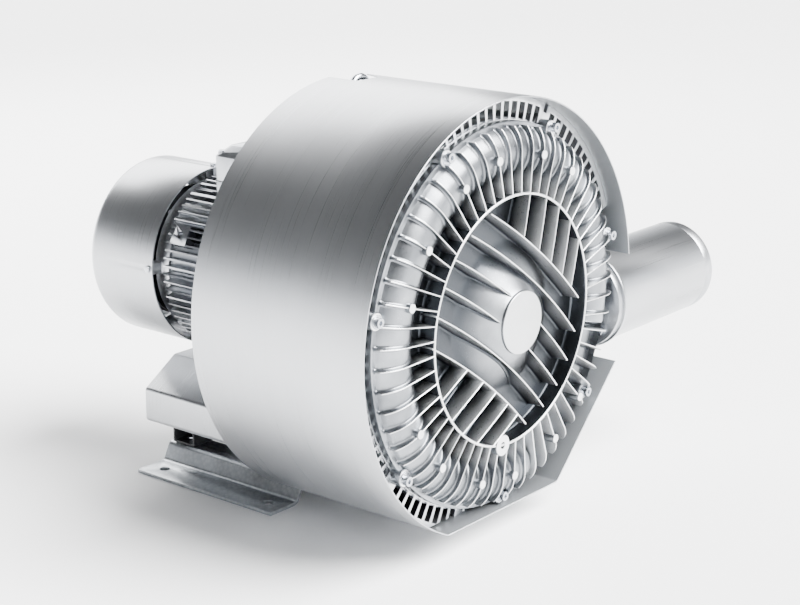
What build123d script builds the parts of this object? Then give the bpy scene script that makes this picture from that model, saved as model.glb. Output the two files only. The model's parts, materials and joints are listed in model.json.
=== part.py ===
"""Two-stage side channel blower with its finned motor, cowl, foot rails and silencers.

Millimetres, +Z up. The origin is the centre of the foot bolt pattern on the floor.
The shaft runs along Y, the motor is at +Y and the silencers leave toward +X.
"""
import os
from math import acos, cos, degrees, radians, sin, sqrt

from build123d import *

os.makedirs("parts", exist_ok=True)

# Frame and clearances
SHAFT_HEIGHT = 308.0
COWL_FRONT = -427.0
SEAT_GAP = 0.3
FIT = 0.05
RUN_AXIAL = 1.0
RUN_RADIAL = 2.0
THROUGH = 0.5

# Cowl sheet, depths are measured back from its front edge
COWL_R = 300.0
COWL_DEPTH = 298.0
COWL_SHEET = 2.0
COWL_FLAT = 272.0
COWL_SLANT_TOP = -25.0
COWL_ARC_START = 6.0
NOTCH_FRONT = 243.0
NOTCH_LEFT = -20.0
NOTCH_RIGHT = 22.0
NOTCH_FLARE = 39.0
NOTCH_CUT = 15.0

# Casing: cover, middle housing and rear housing
FLANGE_R = 268.0
FLAT_GAP = 6.0
SLANT_GAP = 15.5
FLANGE_FRONT = 10.0
FLANGE_BACK = 30.0
GRILLE_SHEET = 3.0
GASKET = 0.5
CHANNEL_R = 221.0
CHANNEL_RADIUS = 27.0
CHANNEL_WALL = 5.0
SECTOR_START = 285.0
SECTOR_END = 345.0
CHAMBER_DEPTH = 42.0
CHAMBER_R = 250.0
BARREL_WALL = 8.0
HOUSING_FLANGE = 12.0
REAR_CHAMBER = 207.0
WEB = 6.0
WINDOW_WIDTH = 60.0

# Cover face
HUB_FACE = -24.0
HUB_R = 43.5
HUB_STEP = 4.0
CONE_R = 102.0
FIELD_FLOOR = 14.0
COVER_WALL = 5.0
RING_R = 172.0
RING_WALL = 5.0
RING_CREST = -11.0
RIB_COUNT = 56
RIB_START = 2.6
RIB_WALL = 2.6
PAD_R = 225.0
PAD_FACE = -8.0
PAD_SIZE = 6.5
PAD_RIBS = (8, 11, 15, 18, 22, 25, 32, 35, 39, 42, 46, 49)
RIM_R = 262.0
RIM_CREST = 8.0
PORT_FLOOR = 28.0
LUG_ANGLE = 262.0
LUG_R = 15.0
LUG_HOLE = 5.0
DIAGONAL = -38.0
DIAGONAL_PITCH = 39.0
DIAGONAL_COUNT = 6
DIAGONAL_BOW = 1130.0
DIAGONAL_END = 152.0
CROSS_TILT = 71.0
CROSS_REACH = 120.4
DOME_R = 1700.0
CROSS_PLACES = (-61.0, -19.0, 17.0, 54.0, 87.0)
FIELD_RIB = 3.0

# Cover bolts
BOLT_COUNT = 7
BOLT_START = 14.1
BOLT_R = 4.0
BOLT_HOLE = 4.5
HEAD_R = 6.5
HEAD_HEIGHT = 8.0
SOCKET_R = 3.4
SOCKET_DEPTH = 4.0
WASHER_R = 8.0
WASHER_SHEET = 1.6
BOLT_LUG_R = 14.5
BOLT_BOSS_R = 12.5
BOLT_LUG_FACE = 5.0
BOLT_EDGE = 9.0
BOLT_REACH = 24.0

# Air grille
GRILLE_START = 20.0
SLOT_COUNT = 13
SLOT_PITCH = 3.64
SLOT_WIDTH = 9.7
SLOT_INNER = 266.0
SLOT_OUTER = 290.0
TAB_NOTCH = 9.0
TAB_NOTCH_R = 286.0

# Rear housing
BELL_R = 124.0
BELL_FLANGE_R = 134.0
BELL_BOLT_R = 125.0
REAR_RIBS = 14
SEAL_BOSS_R = 44.0
SEAL_R = 34.0
SEAL_WIDTH = 12.0

# Screws
SCREW_R = 3.0
SCREW_HEAD_R = 5.0
SCREW_HEAD = 4.0
COWL_SCREW_X = 60.0

# Impellers and shaft line
RIM_WEB = 4.0
END_COVER = 3.0
KEY_RISE = 4.0
BLADE_COUNT = 40
BLADE_WALL = 3.0
IMPELLER_SEAT = 18.0
IMPELLER_HUB = 34.0
BLADE_ROOT = 194.0
SLEEVE_R = 27.0
SHAFT_END = 4.0
THREAD_R = 12.0
END_WASHER = 5.0
END_WASHER_R = 30.0
NUT_R = 20.0
NUT_HEIGHT = 19.0
KEY_WIDTH = 10.0
BEARING_SEAT = 20.0
BEARING_R = 45.0
BEARING_WIDTH = 23.0
BEARING_RACE = 6.0
SHOULDER_R = 24.0
FAN_SEAT = 16.0

# Motor
MOTOR_FRONT = 322.0
MOTOR_BACK = 530.0
MOTOR_BORE = 105.0
MOTOR_BODY = 112.0
FIN_R = 130.0
FIN_COUNT = 68
FIN_WALL = 2.4
THICK_FIN = 4.5
FLANGE_FACE = 300.0
STATOR_FRONT = 350.0
STATOR_BACK = 505.0
STATOR_BORE = 65.0
AIR_GAP = 0.6
WINDING_REACH = 22.0
WINDING_WALL = 14.0
SHIELD_DEPTH = 30.0
SHIELD_R = 117.0
FAN_FRONT = 590.0
FAN_WIDTH = 46.0
FAN_R = 104.0
FAN_BLADES = 8
SHAFT_BACK = 645.0

SHAFT_BORE = 22.0
BEARING_HUB_R = 57.0
SPRING = 1.5
LUG_OUT = 140.0
FAN_LUG = 16.0
SCREW_REACH = 14.0
SHIELD_SCREW_R = 108.5
SCREW_BOSS = 8.0
THICK_FROM = 107.0
THICK_TO = 126.0
PLATE_ANGLE = 136.0
PLATE_DISTANCE = 124.0
PLATE_LENGTH = 64.0
PLATE_WIDTH = 42.0
PAD_DEPTH = 25.0
SQUARE_PAD_ANGLE = 152.7
FOOT_INSET = 45.0
FOOT_SPREAD = 60.0
FOOT_WIDTH = 30.0
CAGE_RING = 10.0

# Fan cowl
INLET_IN = 42.0
INLET_MIDDLE = 70.0
INLET_OUT = 112.0
INLET_SLOTS = 20
FAN_COWL_FRONT = 545.0
FAN_COWL_BACK = 685.0
FAN_COWL_R = 136.0
FAN_COWL_EDGE = 16.0
FAN_SCREW_DEPTH = 553.0
FAN_SCREW_ANGLE = 88.0

# Terminal box
BOX_HALF = 70.0
BOX_FRONT = 360.0
BOX_BACK = 478.0
BOX_BASE = 112.0
BOX_SEAM = 136.0
BOX_EDGE = 173.0
BOX_CROWN = 188.0
BOX_WALL = 4.0
BOX_GASKET = 1.5
BOX_CORNER = 8.0
BOX_DRAFT = 16.0
BOX_SCREW_INSET = 9.0
GLAND_HEIGHT = 124.0
GLAND_DEPTH = 395.0
PLUG_DEPTH = 440.0
GLAND_R = 10.0
GLAND_HEX = 14.0
GLAND_NUT = 8.0
GLAND_TAPER = 8.0
CABLE_R = 6.0
BOARD_SHEET = 5.0
STUD_PITCH = 20.0
STUD_HEIGHT = 10.0

# Rails, cross beams and duct
RAIL_OUTER = 163.0
RAIL_INNER = 110.0
RAIL_SHEET = 5.0
RAIL_HEIGHT = 33.0
RAIL_LEAN = 14.0
RAIL_TOP = 38.0
RAIL_LENGTH = 272.0
RAIL_BEND = 10.0
FOOT_X = 136.0
FOOT_Y = 106.0
FOOT_HOLE = 8.0
BEAM_HEIGHT = 25.0
BEAM_WIDTH = 44.0
BEAM_SHEET = 3.0
BEAM_HALF = 95.0
BEAM_BOLT_X = 76.0
DUCT_SLOTS = 11
DUCT_SLOT_PITCH = 18.0
DUCT_SLOT_HEIGHT = 70.0
DUCT_HALF = 140.0
DUCT_SIDE_TOP = -182.0
DUCT_SIDE_BOTTOM = -217.0
DUCT_TOP = -142.0
DUCT_TOP_HALF = 78.0
DUCT_BOTTOM_HALF = 92.0
DUCT_FRONT = 290.0
DUCT_BACK = 565.0
DUCT_SHEET = 2.0
DUCT_BEND = 8.0
DUCT_WINDOW_X = 54.6
DUCT_WINDOW_R = 39.0

# Ports and silencers
PORT_Z = -47.0
PORT_FRONT = 70.0
PORT_PITCH = 170.0
PORT_BORE = 24.0
PORT_PAD = 36.0
PORT_FACE = 262.0
NECK_COLLAR = 37.0
NECK_R = 30.0
PORT_FLANGE = 12.0
SILENCER_START = 288.0
SILENCER_R = 70.0
SILENCER_SHEET = 2.0
SILENCER_LENGTH = 256.0
SILENCER_RIM = 73.0
SILENCER_FLANGE = 6.0
SLEEVE_WALL = 14.0
SLEEVE_GAP = 10.0
CAP_SPIGOT = 12.0
SILENCER_BOLT_R = 55.0
CAP_DEPTH = 22.0
CAP_THREAD = 33.0
CAP_CHAMFER = 3.0

# Lifting eye
EYE_DEPTH = 260.0
EYE_SEAT = 261.0
EYE_RING = 22.5
EYE_WIRE = 5.0
EYE_COLLAR = 11.0
EYE_SHANK = 5.0
EYE_CENTRE = 22.5
EYE_PAD = 15.0
EYE_THREAD = 24.0

# Places worked out from the sizes above
COVER_BACK = FLANGE_BACK + GRILLE_SHEET - GASKET
HOUSING_FRONT = FLANGE_BACK + GRILLE_SHEET
FRONT_WALL = HOUSING_FRONT + CHAMBER_DEPTH
REAR_WALL = REAR_CHAMBER + CHAMBER_DEPTH
CHANNEL_OUTER = CHANNEL_RADIUS + CHANNEL_WALL
CHANNEL_IN = CHANNEL_R - CHANNEL_RADIUS
CHANNEL_OUT = CHANNEL_R + CHANNEL_RADIUS
BARREL_R = CHAMBER_R + BARREL_WALL
SECTOR = SECTOR_END - SECTOR_START
FLAT_CORNER = degrees(acos(COWL_FLAT / COWL_R)) - 90
SLANT_ANGLE = (FLAT_CORNER + COWL_SLANT_TOP) / 2
COWL_SLANT = COWL_R * cos(radians((COWL_SLANT_TOP - FLAT_CORNER) / 2))
CASING_FLAT = COWL_FLAT - FLAT_GAP
CASING_SLANT = COWL_SLANT - SLANT_GAP
BOLT_PITCH = 360 / BOLT_COUNT
REAR_FACE = REAR_CHAMBER + GASKET
IMPELLER_WIDTH = CHAMBER_DEPTH - 2 * RUN_AXIAL
IMPELLER_R = CHAMBER_R - RUN_RADIAL
IMPELLER_FRONT = HOUSING_FRONT + RUN_AXIAL
IMPELLER_REAR = REAR_CHAMBER + RUN_AXIAL
SHOULDER = IMPELLER_REAR + IMPELLER_WIDTH
SEAL_BACK = REAR_WALL + 4 * WEB
FRONT_BEARING = FLANGE_FACE + END_COVER
REAR_BEARING = MOTOR_BACK + END_COVER
BELL_FLANGE = FLANGE_FACE - HOUSING_FLANGE
DUCT_BOTTOM = RAIL_HEIGHT + BEAM_HEIGHT - SHAFT_HEIGHT
SHAFT = Axis((0, 0, SHAFT_HEIGHT), (0, 1, 0))


def across(depth):
    """Plane square to the shaft that faces the front, at a depth behind the cowl's edge."""
    return Plane(origin=(0, COWL_FRONT + depth, SHAFT_HEIGHT), x_dir=(1, 0, 0), z_dir=(0, -1, 0))


def meridian(angle):
    """Half plane through the shaft: its x is the depth and its y the radius at that angle."""
    side = (sin(radians(angle)), 0, -cos(radians(angle)))
    return Plane(origin=(0, COWL_FRONT, SHAFT_HEIGHT), x_dir=(0, 1, 0), z_dir=side)


def level(height, depth=0.0, x=0.0):
    """Horizontal plane at a height over the shaft, its origin at a depth and an x."""
    return Plane(origin=(x, COWL_FRONT + depth, SHAFT_HEIGHT + height), x_dir=(1, 0, 0))


def beside(x, depth=0.0, height=0.0):
    """Plane that faces +X: its x is +Y and its y is +Z."""
    origin = (x, COWL_FRONT + depth, SHAFT_HEIGHT + height)
    return Plane(origin=origin, x_dir=(0, 1, 0), z_dir=(1, 0, 0))


def at(radius, angle):
    """Point of a plane square to the shaft."""
    return (radius * cos(radians(angle)), radius * sin(radians(angle)))


def bolt_angles():
    """Angles of the casing bolts."""
    return [BOLT_START + k * BOLT_PITCH for k in range(BOLT_COUNT)]


def bolt_radius(angle):
    """The bolt circle, drawn in where the flat and the slanted edge leave less room."""
    flat = (CASING_FLAT - BOLT_EDGE) / max(cos(radians(angle + 90)), 0.5)
    slant = (CASING_SLANT - BOLT_EDGE) / max(cos(radians(angle - SLANT_ANGLE)), 0.5)
    return min(FLANGE_R, flat, slant)


def bolt_points():
    """Centres of the casing bolts in a plane square to the shaft."""
    return [at(bolt_radius(angle), angle) for angle in bolt_angles()]


def tie_points():
    """Rear bolts stand where the full bolt circle has room behind the flange."""
    full = [angle for angle in bolt_angles() if bolt_radius(angle) == FLANGE_R]
    return [at(FLANGE_R, angle) for angle in full]


def cowl_screw_points():
    """Screws up through the cowl's flat bottom into the middle housing's two flanges."""
    depths = (HOUSING_FRONT + HOUSING_FLANGE / 2, REAR_CHAMBER - HOUSING_FLANGE / 2)
    return [(x, depth) for x in (-COWL_SCREW_X, COWL_SCREW_X) for depth in depths]


def radial(depth, angle, distance):
    """Plane that faces away from the shaft at an angle: its x is +Y."""
    out = (cos(radians(angle)), 0, sin(radians(angle)))
    origin = (distance * out[0], COWL_FRONT + depth, SHAFT_HEIGHT + distance * out[2])
    return Plane(origin=origin, x_dir=(0, 1, 0), z_dir=out)


def fan_screw_angles():
    """Angles of the four screws round the fan cowl."""
    return [FAN_SCREW_ANGLE + 90 * k for k in range(4)]


def box_plane(height):
    """Horizontal plane over the middle of the terminal box."""
    return level(height, (BOX_FRONT + BOX_BACK) / 2)


def lid_rectangle(inset, corner):
    """Outline of the terminal box, smaller by the inset."""
    RectangleRounded(2 * (BOX_HALF - inset), BOX_BACK - BOX_FRONT - 2 * inset, corner)


def box_screw_points():
    """Lid screws in the corners of the terminal box."""
    half_x = BOX_HALF - BOX_SCREW_INSET
    half_y = (BOX_BACK - BOX_FRONT) / 2 - BOX_SCREW_INSET
    return [(x, y) for x in (-half_x, half_x) for y in (-half_y, half_y)]


def half_plane(distance, angle):
    """Large square that keeps what lies nearer to the shaft than a straight edge."""
    size = 4 * COWL_R
    x, y = at(distance - size / 2, angle)
    with Locations(Location((x, y, 0), angle)):
        Rectangle(size, size, mode=Mode.INTERSECT)


def beyond(distance, angle):
    """Large square over what lies beyond a straight edge."""
    size = 4 * COWL_R
    x, y = at(distance + size / 2, angle)
    with Locations(Location((x, y, 0), angle)):
        Rectangle(size, size)


def casing_outline():
    """Flange outline: circle with bolt lugs, cut flat at the bottom and on the slant."""
    Circle(FLANGE_R)
    with Locations(*bolt_points()):
        Circle(BOLT_LUG_R)
    half_plane(CASING_FLAT, -90)
    half_plane(CASING_SLANT, SLANT_ANGLE)


def cowl_outline(inset):
    """Cowl outline, smaller by the inset."""
    Circle(COWL_R - inset)
    half_plane(COWL_FLAT - inset, -90)
    half_plane(COWL_SLANT - inset, SLANT_ANGLE)


def channel_profile(face, into):
    """Half round channel that opens at a face; into is +1 toward the motor, -1 to the front."""
    with BuildLine() as outline:
        deep = (face + into * CHANNEL_RADIUS, CHANNEL_R)
        ThreePointArc((face, CHANNEL_IN), deep, (face, CHANNEL_OUT))
        over = face - into * THROUGH
        Polyline((face, CHANNEL_OUT), (over, CHANNEL_OUT), (over, CHANNEL_IN), (face, CHANNEL_IN))
    make_face(outline.edges())


def torus_radius(face, depth, side):
    """Radius where the channel's outer skin crosses a depth; side is +1 outside, -1 inside."""
    return CHANNEL_R + side * sqrt(CHANNEL_OUTER**2 - (depth - face) ** 2)


# Front cover: radial ribs across the channel, trimmed by the line of their crests
with BuildPart() as radial_ribs:
    with BuildSketch(across(FLANGE_BACK)):
        with PolarLocations((RING_R + RIM_R) / 2, RIB_COUNT, start_angle=RIB_START):
            Rectangle(RIM_R - RING_R + 2 * WEB, RIB_WALL)
    extrude(amount=FLANGE_BACK - HUB_FACE)
    with BuildSketch(meridian(90)):
        with BuildLine():
            Polyline(
                (FLANGE_BACK, RING_R),
                (RING_CREST, RING_R),
                (PAD_FACE, PAD_R),
                (RIM_CREST, RIM_R),
                (FLANGE_BACK, RIM_R),
                close=True,
            )
        make_face()
    revolve(axis=SHAFT, mode=Mode.INTERSECT)

# Front cover: herringbone ribs inside the ring
with BuildPart() as field_ribs:
    along = (cos(radians(DIAGONAL)), 0, sin(radians(DIAGONAL)))
    diagonal_plane = Plane(origin=across(FIELD_FLOOR).origin, x_dir=along, z_dir=(0, -1, 0))
    spread = DIAGONAL_PITCH * (DIAGONAL_COUNT - 1) / 2
    with BuildSketch(diagonal_plane):
        for k in range(DIAGONAL_COUNT):
            crest = k * DIAGONAL_PITCH - spread
            half = sqrt(RING_R**2 - crest**2)
            bow = half**2 / (2 * DIAGONAL_BOW)
            with BuildLine():
                ThreePointArc((-half, crest - bow), (0, crest), (half, crest - bow))
            trace(line_width=FIELD_RIB)
        for side in (-1, 1):
            for place in CROSS_PLACES:
                foot = (place, side * spread)
                lean = radians(180 - CROSS_TILT)
                tip = (place + CROSS_REACH * cos(lean), side * (spread + CROSS_REACH * sin(lean)))
                with BuildLine():
                    Line(foot, tip)
                trace(line_width=FIELD_RIB)
    extrude(amount=FIELD_FLOOR - HUB_FACE)
    with BuildSketch(meridian(90)):
        with BuildLine():
            dome_edge = (RING_CREST, RING_R)
            dome_top = (HUB_FACE + HUB_STEP, 0)
            RadiusArc(dome_top, dome_edge, DOME_R)
            Polyline(
                dome_edge,
                (FIELD_FLOOR + RUN_AXIAL, RING_R),
                (FIELD_FLOOR + RUN_AXIAL, 0),
                dome_top,
            )
        make_face()
    revolve(axis=SHAFT, mode=Mode.INTERSECT)
    with BuildSketch(diagonal_plane):
        with Locations((RING_R, 0)):
            Rectangle(2 * RING_R, 4 * RING_R)
        Circle(DIAGONAL_END, mode=Mode.SUBTRACT)
    extrude(amount=FIELD_FLOOR - HUB_FACE, mode=Mode.SUBTRACT)

# Front cover: turned body, port sector, ribs, ejector pads, bolt lugs and the channel inside
with BuildPart() as front_cover:
    with BuildSketch(meridian(90)):
        with BuildLine():
            cover_floor_in = torus_radius(FLANGE_BACK, FIELD_FLOOR, -1)
            cover_floor_out = torus_radius(FLANGE_BACK, FLANGE_FRONT, 1)
            Polyline(
                (COVER_BACK, 0),
                (HUB_FACE, 0),
                (HUB_FACE, HUB_R),
                (HUB_FACE + HUB_STEP, HUB_R),
                (FIELD_FLOOR, CONE_R),
                (FIELD_FLOOR, RING_R - RING_WALL / 2),
                (RING_CREST, RING_R - RING_WALL / 2),
                (RING_CREST, RING_R + RING_WALL / 2),
                (FIELD_FLOOR, RING_R + RING_WALL / 2),
                (FIELD_FLOOR, cover_floor_in),
            )
            ThreePointArc(
                (FIELD_FLOOR, cover_floor_in),
                (FLANGE_BACK - CHANNEL_OUTER, CHANNEL_R),
                (FLANGE_FRONT, cover_floor_out),
            )
            Polyline(
                (FLANGE_FRONT, cover_floor_out),
                (FLANGE_FRONT, FLANGE_R),
                (FLANGE_BACK, FLANGE_R),
                (FLANGE_BACK, RIM_R - SEAT_GAP),
                (COVER_BACK, RIM_R - SEAT_GAP),
                (COVER_BACK, 0),
            )
        make_face()
    revolve(axis=SHAFT)
    with BuildSketch(meridian(SECTOR_END)):
        with Locations(((PORT_FLOOR + HUB_FACE) / 2, FLANGE_R)):
            Rectangle(PORT_FLOOR - HUB_FACE, 2 * (FLANGE_R - RING_R) - RING_WALL)
    revolve(axis=SHAFT, revolution_arc=SECTOR, mode=Mode.SUBTRACT)
    add(radial_ribs.part)
    add(field_ribs.part)
    with BuildSketch(across(FLANGE_FRONT)):
        for k in PAD_RIBS:
            with Locations(at(PAD_R, RIB_START + k * 360 / RIB_COUNT)):
                Circle(PAD_SIZE)
    extrude(amount=FLANGE_FRONT - PAD_FACE)
    with BuildSketch(across(FIELD_FLOOR)):
        with Locations(at(RING_R, LUG_ANGLE)):
            Circle(LUG_R)
    extrude(amount=FIELD_FLOOR - RING_CREST)
    with BuildSketch(across(FLANGE_BACK)):
        with Locations(*bolt_points()):
            Circle(BOLT_LUG_R)
    extrude(amount=FLANGE_BACK - BOLT_LUG_FACE)
    with BuildSketch(across(BOLT_LUG_FACE)):
        with Locations(*bolt_points()):
            Circle(WASHER_R + RUN_AXIAL)
    extrude(amount=BOLT_LUG_FACE - HUB_FACE, mode=Mode.SUBTRACT)
    with BuildSketch(across(COVER_BACK + THROUGH)):
        beyond(CASING_FLAT, -90)
        beyond(CASING_SLANT, SLANT_ANGLE)
    extrude(amount=COVER_BACK - HUB_FACE + 2 * THROUGH, mode=Mode.SUBTRACT)
    with BuildSketch(meridian(SECTOR_START)):
        channel_profile(FLANGE_BACK, -1)
    revolve(axis=SHAFT, revolution_arc=360 - SECTOR, mode=Mode.SUBTRACT)
    with BuildSketch(meridian(SECTOR_START)):
        with Locations((FLANGE_BACK + CHANNEL_WALL / 2, CHANNEL_R)):
            Rectangle(CHANNEL_WALL, 2 * CHANNEL_RADIUS)
    revolve(axis=SHAFT, revolution_arc=360 - SECTOR, mode=Mode.SUBTRACT)
    with BuildSketch(meridian(90)):
        with BuildLine():
            Polyline(
                (COVER_BACK + THROUGH, 0),
                (HUB_FACE + HUB_STEP + COVER_WALL / 2, 0),
                (HUB_FACE + HUB_STEP + COVER_WALL / 2, HUB_R - COVER_WALL),
                (FIELD_FLOOR + COVER_WALL, CONE_R - COVER_WALL),
                (FIELD_FLOOR + COVER_WALL, CHANNEL_IN - 2 * WEB),
                (COVER_BACK + THROUGH, CHANNEL_IN - 2 * WEB),
                close=True,
            )
        make_face()
    revolve(axis=SHAFT, mode=Mode.SUBTRACT)
    with BuildSketch(across(RING_CREST)):
        with Locations(at(RING_R, LUG_ANGLE)):
            Circle(LUG_HOLE)
    extrude(amount=-(FIELD_FLOOR - RING_CREST) / 2, mode=Mode.SUBTRACT)
    with BuildSketch(across(BOLT_LUG_FACE)):
        with Locations(*bolt_points()):
            Circle(BOLT_HOLE)
    extrude(amount=BOLT_LUG_FACE - COVER_BACK, mode=Mode.SUBTRACT)
front_cover.part.label = "front_cover"
export_step(front_cover.part, "parts/front_cover.step")

# Cover gasket
with BuildPart() as cover_gasket:
    with BuildSketch(across(HOUSING_FRONT)):
        Circle(RIM_R - SEAT_GAP)
        Circle(CHAMBER_R, mode=Mode.SUBTRACT)
        with Locations(*bolt_points()):
            Circle(BOLT_HOLE, mode=Mode.SUBTRACT)
    extrude(amount=GASKET)
cover_gasket.part.label = "cover_gasket"
export_step(cover_gasket.part, "parts/cover_gasket.step")

# Air grille: a comb plate clamped between the cover's flange and the middle housing
with BuildPart() as air_grille:
    with BuildSketch(across(HOUSING_FRONT)):
        cowl_outline(COWL_SHEET + SEAT_GAP)
        half_plane(CASING_FLAT, -90)
        Circle(RIM_R, mode=Mode.SUBTRACT)
        with BuildLine():
            gap_start = at(2 * COWL_R, LUG_ANGLE)
            gap_end = at(2 * COWL_R, GRILLE_START)
            gap_middle = at(2 * COWL_R, (LUG_ANGLE + GRILLE_START + 360) / 2)
            Polyline((0, 0), gap_start, gap_middle, gap_end, close=True)
        make_face(mode=Mode.SUBTRACT)
        sweep_angle = (SLOT_COUNT - 1) * SLOT_PITCH
        slot_middle = (SLOT_INNER + SLOT_OUTER) / 2
        for angle in bolt_angles():
            first = angle + (BOLT_PITCH - sweep_angle) / 2
            with PolarLocations(slot_middle, SLOT_COUNT, first, sweep_angle, endpoint=True):
                Rectangle(SLOT_OUTER - SLOT_INNER, SLOT_WIDTH, mode=Mode.SUBTRACT)
            with Locations(at(bolt_radius(angle), angle)):
                Circle(BOLT_HOLE, mode=Mode.SUBTRACT)
            with PolarLocations(TAB_NOTCH_R + TAB_NOTCH, 1, angle):
                Rectangle(2 * TAB_NOTCH, TAB_NOTCH, mode=Mode.SUBTRACT)
    extrude(amount=GRILLE_SHEET)
air_grille.part.label = "air_grille"
export_step(air_grille.part, "parts/air_grille.step")

# Middle housing: barrel with both impeller chambers' inner walls and their channels
with BuildPart() as middle_housing:
    with BuildSketch(meridian(90)):
        with BuildLine():
            Polyline(
                (HOUSING_FRONT, CHANNEL_IN - 2 * WEB),
                (HOUSING_FRONT, BARREL_R),
                (REAR_CHAMBER, BARREL_R),
                (REAR_CHAMBER, CHANNEL_IN - 2 * WEB),
                close=True,
            )
        make_face()
    revolve(axis=SHAFT)
    for face in (HOUSING_FRONT + HOUSING_FLANGE, REAR_CHAMBER):
        with BuildSketch(across(face)):
            casing_outline()
            Circle(CHANNEL_IN, mode=Mode.SUBTRACT)
        extrude(amount=HOUSING_FLANGE)
    with BuildSketch(across(REAR_CHAMBER)):
        with Locations(*bolt_points()):
            Circle(BOLT_BOSS_R)
        half_plane(CASING_FLAT, -90)
        half_plane(CASING_SLANT, SLANT_ANGLE)
    extrude(amount=REAR_CHAMBER - HOUSING_FRONT)
    with BuildSketch(beside(PORT_FACE, PORT_FRONT, PORT_Z)):
        Circle(PORT_PAD)
    extrude(amount=-(PORT_FACE - CHANNEL_R))
    with BuildSketch(meridian(90)):
        with BuildLine():
            wall_front = FRONT_WALL + CHANNEL_OUTER
            wall_back = REAR_CHAMBER - CHANNEL_OUTER
            Polyline(
                (wall_front, CHANNEL_IN - CHANNEL_WALL),
                (wall_front, CHAMBER_R),
                (wall_back, CHAMBER_R),
                (wall_back, CHANNEL_IN - CHANNEL_WALL),
                close=True,
            )
        make_face()
    revolve(axis=SHAFT, mode=Mode.SUBTRACT)
    with BuildSketch(meridian(90)):
        with BuildLine():
            Polyline(
                (HOUSING_FRONT - THROUGH, 0),
                (HOUSING_FRONT - THROUGH, CHAMBER_R),
                (FRONT_WALL, CHAMBER_R),
                (FRONT_WALL, 0),
                close=True,
            )
        make_face()
    revolve(axis=SHAFT, mode=Mode.SUBTRACT)
    for face, into in ((FRONT_WALL, 1), (REAR_CHAMBER, -1)):
        with BuildSketch(meridian(SECTOR_START)):
            channel_profile(face, into)
        revolve(axis=SHAFT, revolution_arc=360 - SECTOR, mode=Mode.SUBTRACT)
    with BuildSketch(meridian(90)):
        for face in (FRONT_WALL + 2 * WEB, REAR_CHAMBER - 3 * WEB):
            with Locations((face + WEB / 2, (CHANNEL_IN + IMPELLER_HUB) / 2)):
                Rectangle(WEB, CHANNEL_IN - IMPELLER_HUB)
        with Locations(((FRONT_WALL + REAR_CHAMBER) / 2, IMPELLER_HUB + WEB)):
            Rectangle(REAR_CHAMBER - FRONT_WALL - 2 * WEB, 2 * WEB)
    revolve(axis=SHAFT)
    with BuildSketch(across((FRONT_WALL + REAR_CHAMBER) / 2)):
        with PolarLocations(0, BOLT_COUNT, start_angle=BOLT_START + BOLT_PITCH / 2):
            with Locations(((CHANNEL_IN + FLANGE_R) / 2, 0)):
                Rectangle(FLANGE_R - CHANNEL_IN + 6 * WEB, WINDOW_WIDTH)
    window = REAR_CHAMBER - FRONT_WALL - 2 * CHANNEL_OUTER - 2 * WEB
    extrude(amount=window / 2, both=True, mode=Mode.SUBTRACT)
    with BuildSketch(beside(PORT_FACE, PORT_FRONT, PORT_Z)):
        Circle(NECK_R + FIT)
    extrude(amount=-(PORT_FACE - CHANNEL_R), mode=Mode.SUBTRACT)
    for depth in (PORT_FRONT, PORT_FRONT + PORT_PITCH):
        with BuildSketch(beside(PORT_FACE, depth, PORT_Z)):
            Circle(NECK_COLLAR + SEAT_GAP)
        extrude(amount=COWL_R - PORT_FACE, mode=Mode.SUBTRACT)
    for flange_back in (HOUSING_FRONT + HOUSING_FLANGE, REAR_CHAMBER):
        foot = COWL_FLAT - COWL_SHEET - SEAT_GAP
        with BuildSketch(level(-foot, flange_back - HOUSING_FLANGE / 2)):
            with Locations((COWL_SCREW_X, 0), (-COWL_SCREW_X, 0)):
                Rectangle(2 * HOUSING_FLANGE, HOUSING_FLANGE)
        extrude(amount=foot - CASING_FLAT + HOUSING_FLANGE)
    with BuildSketch(level(-CASING_FLAT)):
        with Locations(*cowl_screw_points()):
            Circle(SCREW_R + FIT)
    extrude(amount=HOUSING_FLANGE, both=True, mode=Mode.SUBTRACT)
    with BuildSketch(across(HOUSING_FRONT)):
        with Locations(*bolt_points()):
            Circle(BOLT_R + FIT)
    extrude(amount=-2 * BOLT_REACH, mode=Mode.SUBTRACT)
    with BuildSketch(across(REAR_CHAMBER)):
        with Locations(*bolt_points()):
            Circle(BOLT_R + FIT)
    extrude(amount=2 * BOLT_REACH, mode=Mode.SUBTRACT)
middle_housing.part.label = "middle_housing"
export_step(middle_housing.part, "parts/middle_housing.step")

# Middle gasket
with BuildPart() as middle_gasket:
    with BuildSketch(across(REAR_CHAMBER + GASKET)):
        Circle(RIM_R - SEAT_GAP)
        Circle(CHAMBER_R, mode=Mode.SUBTRACT)
        with Locations(*bolt_points()):
            Circle(BOLT_HOLE, mode=Mode.SUBTRACT)
    extrude(amount=GASKET)
middle_gasket.part.label = "middle_gasket"
export_step(middle_gasket.part, "parts/middle_gasket.step")

# Rear housing: second chamber, its channel, stiffening ribs, motor bell and eye boss
with BuildPart() as rear_ribs:
    with BuildSketch(across(REAR_WALL + WEB)):
        with PolarLocations((BELL_R + CHANNEL_OUT) / 2, REAR_RIBS):
            Rectangle(CHANNEL_OUT - BELL_R + WEB, WEB)
    extrude(amount=-(FLANGE_FACE - REAR_WALL - WEB))
    with BuildSketch(meridian(90)):
        with BuildLine():
            Polyline(
                (REAR_WALL, BELL_R - WEB / 2),
                (BELL_FLANGE - WEB, BELL_R - WEB / 2),
                (REAR_WALL + CHANNEL_OUTER, CHANNEL_R),
                (REAR_WALL, CHANNEL_OUT),
                close=True,
            )
        make_face()
    revolve(axis=SHAFT, mode=Mode.INTERSECT)

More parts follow.
